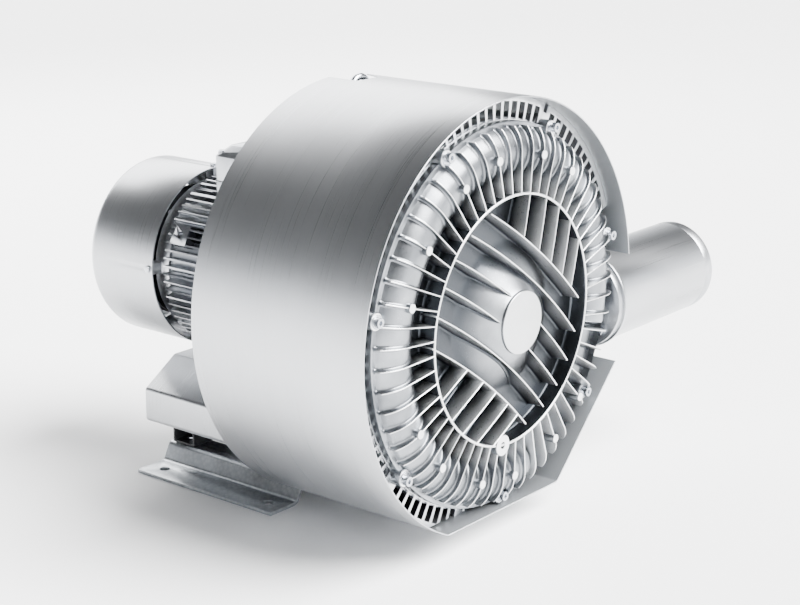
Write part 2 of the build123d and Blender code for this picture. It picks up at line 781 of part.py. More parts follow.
with BuildPart() as rear_housing:
    with BuildSketch(meridian(90)):
        with BuildLine():
            skin_out = torus_radius(REAR_WALL, REAR_WALL + WEB, 1)
            skin_in = torus_radius(REAR_WALL, REAR_WALL + WEB, -1)
            Polyline(
                (REAR_WALL + WEB, skin_in),
                (REAR_WALL + WEB, BELL_R),
                (BELL_FLANGE, BELL_R),
                (BELL_FLANGE, BELL_FLANGE_R),
                (FLANGE_FACE, BELL_FLANGE_R),
                (FLANGE_FACE, 0),
                (REAR_FACE, 0),
                (REAR_FACE, BARREL_R),
                (REAR_WALL + WEB, BARREL_R),
                (REAR_WALL + WEB, skin_out),
            )
            crest = (REAR_WALL + CHANNEL_OUTER, CHANNEL_R)
            ThreePointArc((REAR_WALL + WEB, skin_out), crest, (REAR_WALL + WEB, skin_in))
        make_face()
    revolve(axis=SHAFT)
    with BuildSketch(across(REAR_FACE + HOUSING_FLANGE)):
        casing_outline()
    extrude(amount=HOUSING_FLANGE)
    add(rear_ribs.part)
    with BuildSketch(beside(PORT_FACE, PORT_FRONT + PORT_PITCH, PORT_Z)):
        Circle(PORT_PAD)
    extrude(amount=-(PORT_FACE - CHANNEL_R))
    with BuildSketch(level(EYE_SEAT, EYE_DEPTH)):
        Rectangle(2 * EYE_PAD, 2 * EYE_PAD)
    extrude(amount=-(EYE_SEAT - CHANNEL_R))
    with BuildSketch(meridian(90)):
        with BuildLine():
            Polyline(
                (REAR_FACE - 2 * WEB, 0),
                (REAR_FACE - 2 * WEB, COWL_R),
                (REAR_FACE, COWL_R),
                (REAR_FACE, CHAMBER_R),
                (REAR_WALL, CHAMBER_R),
                (REAR_WALL, 0),
                close=True,
            )
        make_face()
    revolve(axis=SHAFT, mode=Mode.SUBTRACT)
    with BuildSketch(meridian(SECTOR_START)):
        channel_profile(REAR_WALL, 1)
    revolve(axis=SHAFT, revolution_arc=360 - SECTOR, mode=Mode.SUBTRACT)
    with BuildSketch(meridian(90)):
        with BuildLine():
            Polyline(
                (REAR_WALL + WEB, SEAL_BOSS_R),
                (REAR_WALL + WEB, BELL_R - BARREL_WALL),
                (FLANGE_FACE + THROUGH, BELL_R - BARREL_WALL),
                (FLANGE_FACE + THROUGH, 0),
                (SEAL_BACK, 0),
                (SEAL_BACK, SEAL_BOSS_R),
                close=True,
            )
        make_face()
    revolve(axis=SHAFT, mode=Mode.SUBTRACT)
    with BuildSketch(across(REAR_WALL - THROUGH)):
        Circle(BEARING_SEAT + RUN_RADIAL)
    extrude(amount=-(FLANGE_FACE - REAR_WALL), mode=Mode.SUBTRACT)
    with BuildSketch(across(SEAL_BACK)):
        Circle(SEAL_R + FIT)
    extrude(amount=SEAL_WIDTH, mode=Mode.SUBTRACT)
    with BuildSketch(beside(PORT_FACE, PORT_FRONT + PORT_PITCH, PORT_Z)):
        Circle(NECK_R + FIT)
    extrude(amount=-(PORT_FACE - CHANNEL_R), mode=Mode.SUBTRACT)
    with BuildSketch(beside(PORT_FACE, PORT_FRONT + PORT_PITCH, PORT_Z)):
        Circle(NECK_COLLAR + SEAT_GAP)
    extrude(amount=COWL_R - PORT_FACE, mode=Mode.SUBTRACT)
    with BuildSketch(across(REAR_FACE + HOUSING_FLANGE)):
        with Locations(*tie_points()):
            Circle(BOLT_HOLE)
    extrude(amount=HOUSING_FLANGE, mode=Mode.SUBTRACT)
    with BuildSketch(across(FLANGE_FACE)):
        with PolarLocations(BELL_BOLT_R, 4, start_angle=45):
            Circle(BOLT_R + FIT)
    extrude(amount=FLANGE_FACE - BELL_FLANGE, mode=Mode.SUBTRACT)
    with BuildSketch(level(EYE_SEAT, EYE_DEPTH)):
        Circle(EYE_SHANK + FIT)
    extrude(amount=-EYE_THREAD, mode=Mode.SUBTRACT)
rear_housing.part.label = "rear_housing"
export_step(rear_housing.part, "parts/rear_housing.step")

# Impellers: hub, web and a rim with round pockets between radial blades
for label, front in (("front_impeller", IMPELLER_FRONT), ("rear_impeller", IMPELLER_REAR)):
    middle = front + IMPELLER_WIDTH / 2
    back = front + IMPELLER_WIDTH
    pocket = IMPELLER_WIDTH / 2 - RIM_WEB / 2
    with BuildPart() as impeller:
        with BuildSketch(meridian(90)):
            with BuildLine():
                knee = pocket * sin(radians(45))
                low = (front + knee, BLADE_ROOT + pocket - knee)
                high = (back - knee, BLADE_ROOT + pocket - knee)
                Polyline(
                    (middle + RIM_WEB / 2, BLADE_ROOT + pocket),
                    (middle + RIM_WEB / 2, IMPELLER_R - RIM_WEB),
                    (middle - RIM_WEB / 2, IMPELLER_R - RIM_WEB),
                    (middle - RIM_WEB / 2, BLADE_ROOT + pocket),
                )
                ThreePointArc((middle - RIM_WEB / 2, BLADE_ROOT + pocket), low, (front, BLADE_ROOT))
                Polyline(
                    (front, BLADE_ROOT),
                    (front, BLADE_ROOT - WEB),
                    (middle - RIM_WEB, BLADE_ROOT - 3 * WEB),
                    (middle - RIM_WEB, IMPELLER_HUB + WEB),
                    (front, IMPELLER_HUB),
                    (front, IMPELLER_SEAT + FIT),
                    (back, IMPELLER_SEAT + FIT),
                    (back, IMPELLER_HUB),
                    (middle + RIM_WEB, IMPELLER_HUB + WEB),
                    (middle + RIM_WEB, BLADE_ROOT - 3 * WEB),
                    (back, BLADE_ROOT - WEB),
                    (back, BLADE_ROOT),
                )
                ThreePointArc((back, BLADE_ROOT), high, (middle + RIM_WEB / 2, BLADE_ROOT + pocket))
            make_face()
        revolve(axis=SHAFT)
        with BuildSketch(across(back)):
            with PolarLocations((BLADE_ROOT + IMPELLER_R - RIM_WEB) / 2, BLADE_COUNT):
                Rectangle(IMPELLER_R - BLADE_ROOT + RIM_WEB, BLADE_WALL)
        extrude(amount=IMPELLER_WIDTH)
        with BuildSketch(across(back)):
            with Locations((0, IMPELLER_SEAT)):
                Rectangle(KEY_WIDTH + 2 * FIT, 2 * KEY_RISE + 2 * FIT)
        extrude(amount=IMPELLER_WIDTH, mode=Mode.SUBTRACT)
    impeller.part.label = label
    export_step(impeller.part, f"parts/{label}.step")

# Distance sleeve, interstage seal, impeller key, end washer and shaft nut
with BuildPart() as distance_sleeve:
    with BuildSketch(across(IMPELLER_REAR)):
        Circle(SLEEVE_R)
        Circle(IMPELLER_SEAT + FIT, mode=Mode.SUBTRACT)
        with Locations((0, IMPELLER_SEAT)):
            Rectangle(KEY_WIDTH + 2 * FIT, 2 * KEY_RISE + 2 * FIT, mode=Mode.SUBTRACT)
    extrude(amount=IMPELLER_REAR - IMPELLER_FRONT - IMPELLER_WIDTH)
distance_sleeve.part.label = "distance_sleeve"
export_step(distance_sleeve.part, "parts/distance_sleeve.step")

with BuildPart() as interstage_seal:
    with BuildSketch(across((IMPELLER_REAR + IMPELLER_FRONT) / 2 + IMPELLER_WIDTH)):
        Circle(IMPELLER_HUB - FIT)
        Circle(SLEEVE_R + SEAT_GAP, mode=Mode.SUBTRACT)
    extrude(amount=2 * HOUSING_FLANGE)
interstage_seal.part.label = "interstage_seal"
export_step(interstage_seal.part, "parts/interstage_seal.step")

with BuildPart() as impeller_key:
    with BuildSketch(across(SHOULDER - WEB)):
        with Locations((0, IMPELLER_SEAT)):
            Rectangle(KEY_WIDTH, 2 * KEY_RISE)
    extrude(amount=SHOULDER - 2 * WEB - IMPELLER_FRONT)
impeller_key.part.label = "impeller_key"
export_step(impeller_key.part, "parts/impeller_key.step")

with BuildPart() as end_washer:
    with BuildSketch(across(IMPELLER_FRONT)):
        Circle(END_WASHER_R)
        Circle(THREAD_R + SEAT_GAP, mode=Mode.SUBTRACT)
    extrude(amount=END_WASHER)
end_washer.part.label = "end_washer"
export_step(end_washer.part, "parts/end_washer.step")

with BuildPart() as shaft_nut:
    with BuildSketch(across(IMPELLER_FRONT - END_WASHER)):
        RegularPolygon(NUT_R, 6)
        Circle(THREAD_R + FIT, mode=Mode.SUBTRACT)
    extrude(amount=NUT_HEIGHT)
shaft_nut.part.label = "shaft_nut"
export_step(shaft_nut.part, "parts/shaft_nut.step")

# Rotor shaft, stepped for thread, impellers, bearings, rotor core and fan
with BuildPart() as rotor_shaft:
    with BuildSketch(meridian(90)):
        with BuildLine():
            Polyline(
                (SHAFT_END, 0),
                (SHAFT_END, THREAD_R - RUN_RADIAL),
                (SHAFT_END + RUN_RADIAL, THREAD_R),
                (IMPELLER_FRONT + RUN_AXIAL, THREAD_R),
                (IMPELLER_FRONT + RUN_AXIAL, IMPELLER_SEAT),
                (SHOULDER, IMPELLER_SEAT),
                (SHOULDER, BEARING_SEAT),
                (FRONT_BEARING + BEARING_WIDTH, BEARING_SEAT),
                (FRONT_BEARING + BEARING_WIDTH, SHOULDER_R),
                (REAR_BEARING, SHOULDER_R),
                (REAR_BEARING, BEARING_SEAT),
                (REAR_BEARING + BEARING_WIDTH + WEB, BEARING_SEAT),
                (REAR_BEARING + BEARING_WIDTH + WEB, FAN_SEAT),
                (SHAFT_BACK, FAN_SEAT),
                (SHAFT_BACK, 0),
                close=True,
            )
        make_face()
    revolve(axis=SHAFT)
    with BuildSketch(across(SHOULDER - WEB + FIT)):
        with Locations((0, IMPELLER_SEAT)):
            Rectangle(KEY_WIDTH + 2 * FIT, 2 * KEY_RISE + 2 * FIT)
    extrude(amount=SHOULDER - WEB - IMPELLER_FRONT, mode=Mode.SUBTRACT)
rotor_shaft.part.label = "rotor_shaft"
export_step(rotor_shaft.part, "parts/rotor_shaft.step")

# Shaft seal
with BuildPart() as shaft_seal:
    with BuildSketch(across(SEAL_BACK)):
        Circle(SEAL_R)
        Circle(BEARING_SEAT + SEAT_GAP, mode=Mode.SUBTRACT)
    extrude(amount=SEAL_WIDTH)
shaft_seal.part.label = "shaft_seal"
export_step(shaft_seal.part, "parts/shaft_seal.step")

# Cover bolts with washers, tie bolts of the rear housing
with BuildPart() as cover_washers:
    with BuildSketch(across(BOLT_LUG_FACE)):
        with Locations(*bolt_points()):
            Circle(WASHER_R)
            Circle(BOLT_HOLE, mode=Mode.SUBTRACT)
    extrude(amount=WASHER_SHEET)
cover_washers.part.label = "cover_washers"
export_step(cover_washers.part, "parts/cover_washers.step")

with BuildPart() as cover_bolts:
    with BuildSketch(across(BOLT_LUG_FACE - WASHER_SHEET)):
        with Locations(*bolt_points()):
            Circle(HEAD_R)
    extrude(amount=HEAD_HEIGHT)
    with BuildSketch(across(HOUSING_FRONT + BOLT_REACH)):
        with Locations(*bolt_points()):
            Circle(BOLT_R)
    extrude(amount=HOUSING_FRONT + BOLT_REACH - BOLT_LUG_FACE + WASHER_SHEET)
    with BuildSketch(across(BOLT_LUG_FACE - WASHER_SHEET - HEAD_HEIGHT)):
        with Locations(*bolt_points()):
            RegularPolygon(SOCKET_R, 6)
    extrude(amount=-SOCKET_DEPTH, mode=Mode.SUBTRACT)
cover_bolts.part.label = "cover_bolts"
export_step(cover_bolts.part, "parts/cover_bolts.step")

with BuildPart() as tie_bolts:
    with BuildSketch(across(REAR_FACE + HOUSING_FLANGE)):
        with Locations(*tie_points()):
            Circle(HEAD_R)
    extrude(amount=-HEAD_HEIGHT)
    with BuildSketch(across(REAR_FACE + HOUSING_FLANGE)):
        with Locations(*tie_points()):
            Circle(BOLT_R)
    extrude(amount=HOUSING_FLANGE + BOLT_REACH)
tie_bolts.part.label = "tie_bolts"
export_step(tie_bolts.part, "parts/tie_bolts.step")

# Cowl: one sheet wrap, open where the silencers leave, notched for the lifting eye
with BuildPart() as cowl:
    with BuildSketch(across(COWL_DEPTH)):
        cowl_outline(0)
        with BuildSketch(mode=Mode.PRIVATE) as inner_outline:
            cowl_outline(COWL_SHEET)
        add(inner_outline.sketch, mode=Mode.SUBTRACT)
        with BuildLine():
            opening_low = at(2 * COWL_R, COWL_SLANT_TOP)
            opening_high = at(2 * COWL_R, COWL_ARC_START)
            Polyline((0, 0), opening_low, opening_high, close=True)
        make_face(mode=Mode.SUBTRACT)
    extrude(amount=COWL_DEPTH)
    with BuildSketch(level(COWL_R)):
        with BuildLine():
            Polyline(
                (NOTCH_LEFT, NOTCH_FRONT),
                (NOTCH_RIGHT, NOTCH_FRONT),
                (NOTCH_RIGHT + NOTCH_FLARE, COWL_DEPTH + THROUGH),
                (NOTCH_LEFT, COWL_DEPTH + THROUGH),
                close=True,
            )
        make_face()
    extrude(amount=-NOTCH_CUT, mode=Mode.SUBTRACT)
    with BuildSketch(level(-COWL_FLAT)):
        with Locations(*cowl_screw_points()):
            Circle(SCREW_R + SEAT_GAP)
    extrude(amount=COWL_SHEET, mode=Mode.SUBTRACT)
cowl.part.label = "cowl"
export_step(cowl.part, "parts/cowl.step")

with BuildPart() as cowl_screws:
    with BuildSketch(level(-COWL_FLAT)):
        with Locations(*cowl_screw_points()):
            Circle(SCREW_HEAD_R)
    extrude(amount=-SCREW_HEAD)
    with BuildSketch(level(-COWL_FLAT)):
        with Locations(*cowl_screw_points()):
            Circle(SCREW_R)
    extrude(amount=FLAT_GAP + HOUSING_FLANGE / 2)
cowl_screws.part.label = "cowl_screws"
export_step(cowl_screws.part, "parts/cowl_screws.step")

# Motor end shields with their bearing seats
with BuildPart() as front_shield:
    with BuildSketch(meridian(90)):
        with BuildLine():
            Polyline(
                (FLANGE_FACE, SHAFT_BORE),
                (FLANGE_FACE, BELL_FLANGE_R),
                (FLANGE_FACE + HOUSING_FLANGE, BELL_FLANGE_R),
                (FLANGE_FACE + HOUSING_FLANGE, SHIELD_R),
                (MOTOR_FRONT, SHIELD_R),
                (MOTOR_FRONT, MOTOR_BORE - COVER_WALL),
                (FLANGE_FACE + HOUSING_FLANGE, MOTOR_BORE - COVER_WALL),
                (FLANGE_FACE + HOUSING_FLANGE, BEARING_HUB_R),
                (FRONT_BEARING + BEARING_WIDTH + END_COVER, BEARING_HUB_R),
                (FRONT_BEARING + BEARING_WIDTH + END_COVER, BEARING_R + FIT),
                (FRONT_BEARING, BEARING_R + FIT),
                (FRONT_BEARING, SHAFT_BORE),
                close=True,
            )
        make_face()
    revolve(axis=SHAFT)
    with BuildSketch(across(FLANGE_FACE)):
        with PolarLocations(BELL_BOLT_R, 4, start_angle=45):
            Circle(BOLT_HOLE)
    extrude(amount=-HOUSING_FLANGE, mode=Mode.SUBTRACT)
front_shield.part.label = "front_shield"
export_step(front_shield.part, "parts/front_shield.step")

with BuildPart() as rear_shield:
    shield_back = MOTOR_BACK + SHIELD_DEPTH
    with BuildSketch(meridian(90)):
        with BuildLine():
            Polyline(
                (MOTOR_BACK, MOTOR_BORE - COVER_WALL),
                (MOTOR_BACK, SHIELD_R),
                (shield_back - END_COVER, SHIELD_R),
                (shield_back, SHIELD_R - END_COVER),
                (shield_back, SHAFT_BORE),
                (REAR_BEARING + BEARING_WIDTH + SPRING, SHAFT_BORE),
                (REAR_BEARING + BEARING_WIDTH + SPRING, BEARING_R + FIT),
                (MOTOR_BACK, BEARING_R + FIT),
                (MOTOR_BACK, BEARING_HUB_R),
                (shield_back - BARREL_WALL, BEARING_HUB_R),
                (shield_back - BARREL_WALL, MOTOR_BORE - COVER_WALL),
                close=True,
            )
        make_face()
    revolve(axis=SHAFT)
    with BuildSketch(across(FAN_SCREW_DEPTH)):
        with PolarLocations((BEARING_HUB_R + LUG_OUT) / 2, 4, start_angle=FAN_SCREW_ANGLE):
            Rectangle(LUG_OUT - BEARING_HUB_R, FAN_LUG)
    extrude(amount=FAN_LUG / 2, both=True)
    lug_top = FAN_COWL_R - COWL_SHEET - SEAT_GAP
    with BuildSketch(across(MOTOR_BACK)):
        Circle(LUG_OUT + FAN_LUG)
        Circle(lug_top, mode=Mode.SUBTRACT)
    extrude(amount=-2 * SHIELD_DEPTH, mode=Mode.SUBTRACT)
    for angle in fan_screw_angles():
        with BuildSketch(radial(FAN_SCREW_DEPTH, angle, lug_top)):
            Circle(SCREW_R + FIT)
        extrude(amount=-SCREW_REACH, mode=Mode.SUBTRACT)
    with BuildSketch(across(shield_back)):
        with PolarLocations(SHIELD_SCREW_R, 4, start_angle=45):
            Circle(SCREW_R + SEAT_GAP)
    extrude(amount=SHIELD_DEPTH, mode=Mode.SUBTRACT)
rear_shield.part.label = "rear_shield"
export_step(rear_shield.part, "parts/rear_shield.step")

# Motor frame: tube with cooling fins, box platform, lifting pad, bosses and feet
with BuildPart() as motor_frame:
    with BuildSketch(across(MOTOR_BACK)):
        Circle(MOTOR_BODY)
    extrude(amount=MOTOR_BACK - MOTOR_FRONT)
    with BuildSketch(across(MOTOR_BACK - RUN_RADIAL)):
        for k in range(FIN_COUNT):
            angle = k * 360 / FIN_COUNT
            if THICK_FROM < angle < THICK_TO:
                with PolarLocations((MOTOR_BORE + FIN_R) / 2, 1, angle):
                    Rectangle(FIN_R - MOTOR_BORE, THICK_FIN)
            else:
                with PolarLocations((MOTOR_BORE + FIN_R) / 2, 1, angle):
                    Rectangle(FIN_R - MOTOR_BORE, FIN_WALL)
    extrude(amount=MOTOR_BACK - MOTOR_FRONT - 4 * RUN_RADIAL)
    with BuildSketch(level(BOX_BASE, BOX_FRONT - THROUGH)):
        with Locations((0, (BOX_BACK - BOX_FRONT) / 2 + THROUGH)):
            Rectangle(2 * BOX_HALF + 2 * THROUGH, BOX_BACK - BOX_FRONT + 2 * THROUGH)
    extrude(amount=FIN_R, mode=Mode.SUBTRACT)
    with BuildSketch(level(BOX_BASE, (BOX_FRONT + BOX_BACK) / 2)):
        Rectangle(2 * BOX_HALF - 2 * WEB, BOX_BACK - BOX_FRONT - 2 * WEB)
    extrude(amount=-(BOX_BASE - BOX_HALF))
    with BuildSketch(radial(MOTOR_BACK - PLATE_LENGTH / 2, PLATE_ANGLE, PLATE_DISTANCE)):
        Rectangle(PLATE_LENGTH, PLATE_WIDTH)
    extrude(amount=-(PLATE_DISTANCE - MOTOR_BORE))
    with BuildSketch(radial(MOTOR_BACK - PAD_DEPTH, SQUARE_PAD_ANGLE, FIN_R)):
        Rectangle(2 * LUG_R, 2 * LUG_R)
    extrude(amount=-(FIN_R - MOTOR_BORE))
    with BuildSketch(radial(MOTOR_BACK - PAD_DEPTH, SQUARE_PAD_ANGLE, FIN_R)):
        Circle(LUG_HOLE)
    extrude(amount=-WEB, mode=Mode.SUBTRACT)
    with BuildSketch(across(MOTOR_BACK)):
        with PolarLocations(SHIELD_SCREW_R, 4, start_angle=45):
            Circle(SCREW_BOSS)
    extrude(amount=PLATE_WIDTH)
    for depth in (MOTOR_FRONT + FOOT_INSET, MOTOR_BACK - FOOT_INSET):
        with BuildSketch(level(DUCT_TOP, depth)):
            with Locations((FOOT_SPREAD, 0), (-FOOT_SPREAD, 0)):
                Rectangle(FOOT_WIDTH, FOOT_WIDTH)
        extrude(amount=-DUCT_TOP - BOX_HALF)
    with BuildSketch(across(MOTOR_BACK + THROUGH)):
        Circle(MOTOR_BORE)
    extrude(amount=MOTOR_BACK - MOTOR_FRONT + 2 * THROUGH, mode=Mode.SUBTRACT)
    with BuildSketch(across(MOTOR_BACK)):
        with PolarLocations(SHIELD_SCREW_R, 4, start_angle=45):
            Circle(SCREW_R + FIT)
    extrude(amount=PLATE_WIDTH, mode=Mode.SUBTRACT)
motor_frame.part.label = "motor_frame"
export_step(motor_frame.part, "parts/motor_frame.step")

# Stator core, windings, rotor core
with BuildPart() as stator_core:
    with BuildSketch(across(STATOR_BACK)):
        Circle(MOTOR_BORE - FIT)
        Circle(STATOR_BORE, mode=Mode.SUBTRACT)
    extrude(amount=STATOR_BACK - STATOR_FRONT)
stator_core.part.label = "stator_core"
export_step(stator_core.part, "parts/stator_core.step")

with BuildPart() as stator_windings:
    winding_r = (STATOR_BORE + MOTOR_BORE) / 2
    with BuildSketch(meridian(90)):
        with Locations((STATOR_FRONT - WINDING_REACH / 2, winding_r)):
            RectangleRounded(WINDING_REACH, 2 * WINDING_WALL, WEB)
        with Locations((STATOR_BACK + WINDING_REACH / 2, winding_r)):
            RectangleRounded(WINDING_REACH, 2 * WINDING_WALL, WEB)
    revolve(axis=SHAFT)
stator_windings.part.label = "stator_windings"
export_step(stator_windings.part, "parts/stator_windings.step")

with BuildPart() as rotor_core:
    with BuildSketch(across(STATOR_BACK)):
        Circle(STATOR_BORE - AIR_GAP)
    extrude(amount=STATOR_BACK - STATOR_FRONT)
    with BuildSketch(across(STATOR_BACK + CAGE_RING)):
        Circle(STATOR_BORE - CAGE_RING)
    extrude(amount=STATOR_BACK - STATOR_FRONT + 2 * CAGE_RING)
    with BuildSketch(across(STATOR_BACK + CAGE_RING)):
        Circle(SHOULDER_R + FIT)
    extrude(amount=STATOR_BACK - STATOR_FRONT + 2 * CAGE_RING, mode=Mode.SUBTRACT)
rotor_core.part.label = "rotor_core"
export_step(rotor_core.part, "parts/rotor_core.step")

# Sealed ball bearings: outer rings with their shields, inner rings, and the wave spring
with BuildPart() as bearing_outer_rings:
    for front in (FRONT_BEARING, REAR_BEARING):
        with BuildSketch(meridian(90)):
            with BuildLine():
                back = front + BEARING_WIDTH
                inner = BEARING_SEAT + BEARING_RACE + SEAT_GAP
                Polyline(
                    (front, inner),
                    (front, BEARING_R),
                    (back, BEARING_R),
                    (back, inner),
                    (back - RUN_RADIAL, inner),
                    (back - RUN_RADIAL, BEARING_R - BEARING_RACE),
                    (front + RUN_RADIAL, BEARING_R - BEARING_RACE),
                    (front + RUN_RADIAL, inner),
                    close=True,
                )
            make_face()
        revolve(axis=SHAFT)
bearing_outer_rings.part.label = "bearing_outer_rings"
export_step(bearing_outer_rings.part, "parts/bearing_outer_rings.step")

with BuildPart() as bearing_inner_rings:
    for front in (FRONT_BEARING, REAR_BEARING):
        with BuildSketch(across(front + BEARING_WIDTH)):
            Circle(BEARING_SEAT + BEARING_RACE)
            Circle(BEARING_SEAT + FIT, mode=Mode.SUBTRACT)
        extrude(amount=BEARING_WIDTH)
bearing_inner_rings.part.label = "bearing_inner_rings"
export_step(bearing_inner_rings.part, "parts/bearing_inner_rings.step")

with BuildPart() as wave_spring:
    with BuildSketch(across(REAR_BEARING + BEARING_WIDTH + SPRING)):
        Circle(BEARING_R)
        Circle(BEARING_R - BEARING_RACE, mode=Mode.SUBTRACT)
    extrude(amount=SPRING)
wave_spring.part.label = "wave_spring"
export_step(wave_spring.part, "parts/wave_spring.step")

# Cooling fan
with BuildPart() as cooling_fan:
    with BuildSketch(across(FAN_FRONT + FAN_WIDTH)):
        Circle(SHOULDER_R + BEARING_RACE)
    extrude(amount=FAN_WIDTH)
    with BuildSketch(across(FAN_FRONT + RIM_WEB)):
        Circle(FAN_R)
    extrude(amount=RIM_WEB)
    with BuildSketch(across(FAN_FRONT + FAN_WIDTH)):
        with PolarLocations((SHOULDER_R + FAN_R) / 2, FAN_BLADES, start_angle=10):
            Rectangle(FAN_R - SHOULDER_R, BLADE_WALL)
    extrude(amount=FAN_WIDTH)
    with BuildSketch(across(FAN_FRONT + FAN_WIDTH)):
        Circle(FAN_SEAT + FIT)
    extrude(amount=FAN_WIDTH, mode=Mode.SUBTRACT)
cooling_fan.part.label = "cooling_fan"
export_step(cooling_fan.part, "parts/cooling_fan.step")

# Fan cowl: drawn cup with a round edge and a slotted air inlet
with BuildPart() as fan_cowl:
    with BuildSketch(across(FAN_COWL_BACK)):
        Circle(FAN_COWL_R)
    extrude(amount=FAN_COWL_BACK - FAN_COWL_FRONT)
    rear_edge = fan_cowl.faces().sort_by(Axis.Y)[-1].edges()
    fillet(rear_edge, FAN_COWL_EDGE)
    offset(amount=-COWL_SHEET, openings=fan_cowl.faces().sort_by(Axis.Y)[0])
    with BuildSketch(across(FAN_COWL_BACK)):
        with PolarLocations((INLET_MIDDLE + INLET_OUT) / 2, 2 * INLET_SLOTS):
            Rectangle(INLET_OUT - INLET_MIDDLE - WEB, WEB)
        with PolarLocations((INLET_IN + INLET_MIDDLE) / 2, INLET_SLOTS):
            Rectangle(INLET_MIDDLE - INLET_IN, WEB)
    extrude(amount=2 * COWL_SHEET, mode=Mode.SUBTRACT)
    for angle in fan_screw_angles():
        with BuildSketch(radial(FAN_SCREW_DEPTH, angle, FAN_COWL_R + THROUGH)):
            Circle(SCREW_R + SEAT_GAP)
        extrude(amount=-2 * COWL_SHEET, mode=Mode.SUBTRACT)
fan_cowl.part.label = "fan_cowl"
export_step(fan_cowl.part, "parts/fan_cowl.step")

with BuildPart() as fan_cowl_screws:
    for angle in fan_screw_angles():
        with BuildSketch(radial(FAN_SCREW_DEPTH, angle, FAN_COWL_R)):
            Circle(SCREW_HEAD_R)
        extrude(amount=SCREW_HEAD)
        with BuildSketch(radial(FAN_SCREW_DEPTH, angle, FAN_COWL_R)):
            Circle(SCREW_R)
        extrude(amount=-SCREW_REACH)
fan_cowl_screws.part.label = "fan_cowl_screws"
export_step(fan_cowl_screws.part, "parts/fan_cowl_screws.step")

with BuildPart() as shield_screws:
    with BuildSketch(across(shield_back)):
        with PolarLocations(SHIELD_SCREW_R, 4, start_angle=45):
            Circle(SCREW_HEAD_R)
    extrude(amount=-SCREW_HEAD)
    with BuildSketch(across(shield_back)):
        with PolarLocations(SHIELD_SCREW_R, 4, start_angle=45):
            Circle(SCREW_R)
    extrude(amount=SHIELD_DEPTH + 2 * WEB)
    with BuildSketch(across(FLANGE_FACE + HOUSING_FLANGE + HEAD_HEIGHT)):
        with PolarLocations(BELL_BOLT_R, 4, start_angle=45):
            Circle(HEAD_R)
    extrude(amount=HEAD_HEIGHT)
    with BuildSketch(across(FLANGE_FACE + HOUSING_FLANGE)):
        with PolarLocations(BELL_BOLT_R, 4, start_angle=45):
            Circle(BOLT_R)
    extrude(amount=2 * HOUSING_FLANGE - RUN_AXIAL)
shield_screws.part.label = "shield_screws"
export_step(shield_screws.part, "parts/shield_screws.step")

# Terminal box: base, gasket, domed lid, screws, board, studs with nuts, gland and plug
with BuildPart() as terminal_base:
    with BuildSketch(box_plane(BOX_BASE)):
        RectangleRounded(2 * BOX_HALF, BOX_BACK - BOX_FRONT, BOX_CORNER)
    extrude(amount=BOX_SEAM - BOX_BASE)
    with BuildSketch(box_plane(BOX_BASE + BOX_WALL)):
        RectangleRounded(2 * (BOX_HALF - BOX_WALL), BOX_BACK - BOX_FRONT - 2 * BOX_WALL, BOX_WALL)
        with Locations(*box_screw_points()):
            Circle(2 * SCREW_R, mode=Mode.SUBTRACT)
    extrude(amount=BOX_SEAM - BOX_BASE, mode=Mode.SUBTRACT)
    with BuildSketch(box_plane(BOX_SEAM)):
        with Locations(*box_screw_points()):
            Circle(SCREW_R + FIT)
    extrude(amount=-SCREW_REACH, mode=Mode.SUBTRACT)
    with BuildSketch(beside(BOX_HALF, 0, GLAND_HEIGHT)):
        with Locations((GLAND_DEPTH, 0), (PLUG_DEPTH, 0)):
            Circle(GLAND_R + FIT)
    extrude(amount=-2 * BOX_WALL, mode=Mode.SUBTRACT)
terminal_base.part.label = "terminal_base"
export_step(terminal_base.part, "parts/terminal_base.step")

with BuildPart() as terminal_gasket:
    with BuildSketch(box_plane(BOX_SEAM)):
        RectangleRounded(2 * BOX_HALF, BOX_BACK - BOX_FRONT, BOX_CORNER)
        inner_x = 2 * (BOX_HALF - BOX_WALL)
        inner_y = BOX_BACK - BOX_FRONT - 2 * BOX_WALL
        RectangleRounded(inner_x, inner_y, BOX_WALL, mode=Mode.SUBTRACT)
        with Locations(*box_screw_points()):
            Circle(2 * SCREW_R)
            Circle(SCREW_R + SEAT_GAP, mode=Mode.SUBTRACT)
    extrude(amount=BOX_GASKET)
terminal_gasket.part.label = "terminal_gasket"
export_step(terminal_gasket.part, "parts/terminal_gasket.step")

with BuildPart() as terminal_lid:
    for inset, mode in ((0, Mode.ADD), (BOX_WALL, Mode.SUBTRACT)):
        with BuildSketch(box_plane(BOX_SEAM + BOX_GASKET)):
            lid_rectangle(inset, BOX_CORNER)
        extrude(amount=BOX_EDGE - BOX_SEAM - BOX_GASKET, mode=mode)
        with BuildSketch(box_plane(BOX_EDGE)):
            lid_rectangle(inset, BOX_CORNER)
        with BuildSketch(box_plane(BOX_CROWN - inset)):
            lid_rectangle(inset + BOX_DRAFT, BOX_CORNER)
        loft(mode=mode)
    with BuildSketch(box_plane(BOX_SEAM + BOX_GASKET)):
        with Locations(*box_screw_points()):
            Circle(2 * SCREW_R)
    extrude(amount=BOX_EDGE - BOX_SEAM + BOX_WALL)
    with BuildSketch(box_plane(BOX_SEAM + BOX_GASKET)):
        with Locations(*box_screw_points()):
            Circle(SCREW_R + SEAT_GAP)
    extrude(amount=BOX_CROWN, mode=Mode.SUBTRACT)
    with BuildSketch(box_plane(BOX_EDGE + BOX_WALL)):
        with Locations(*box_screw_points()):
            Circle(SCREW_HEAD_R + SEAT_GAP)
    extrude(amount=BOX_CROWN, mode=Mode.SUBTRACT)
terminal_lid.part.label = "terminal_lid"
export_step(terminal_lid.part, "parts/terminal_lid.step")

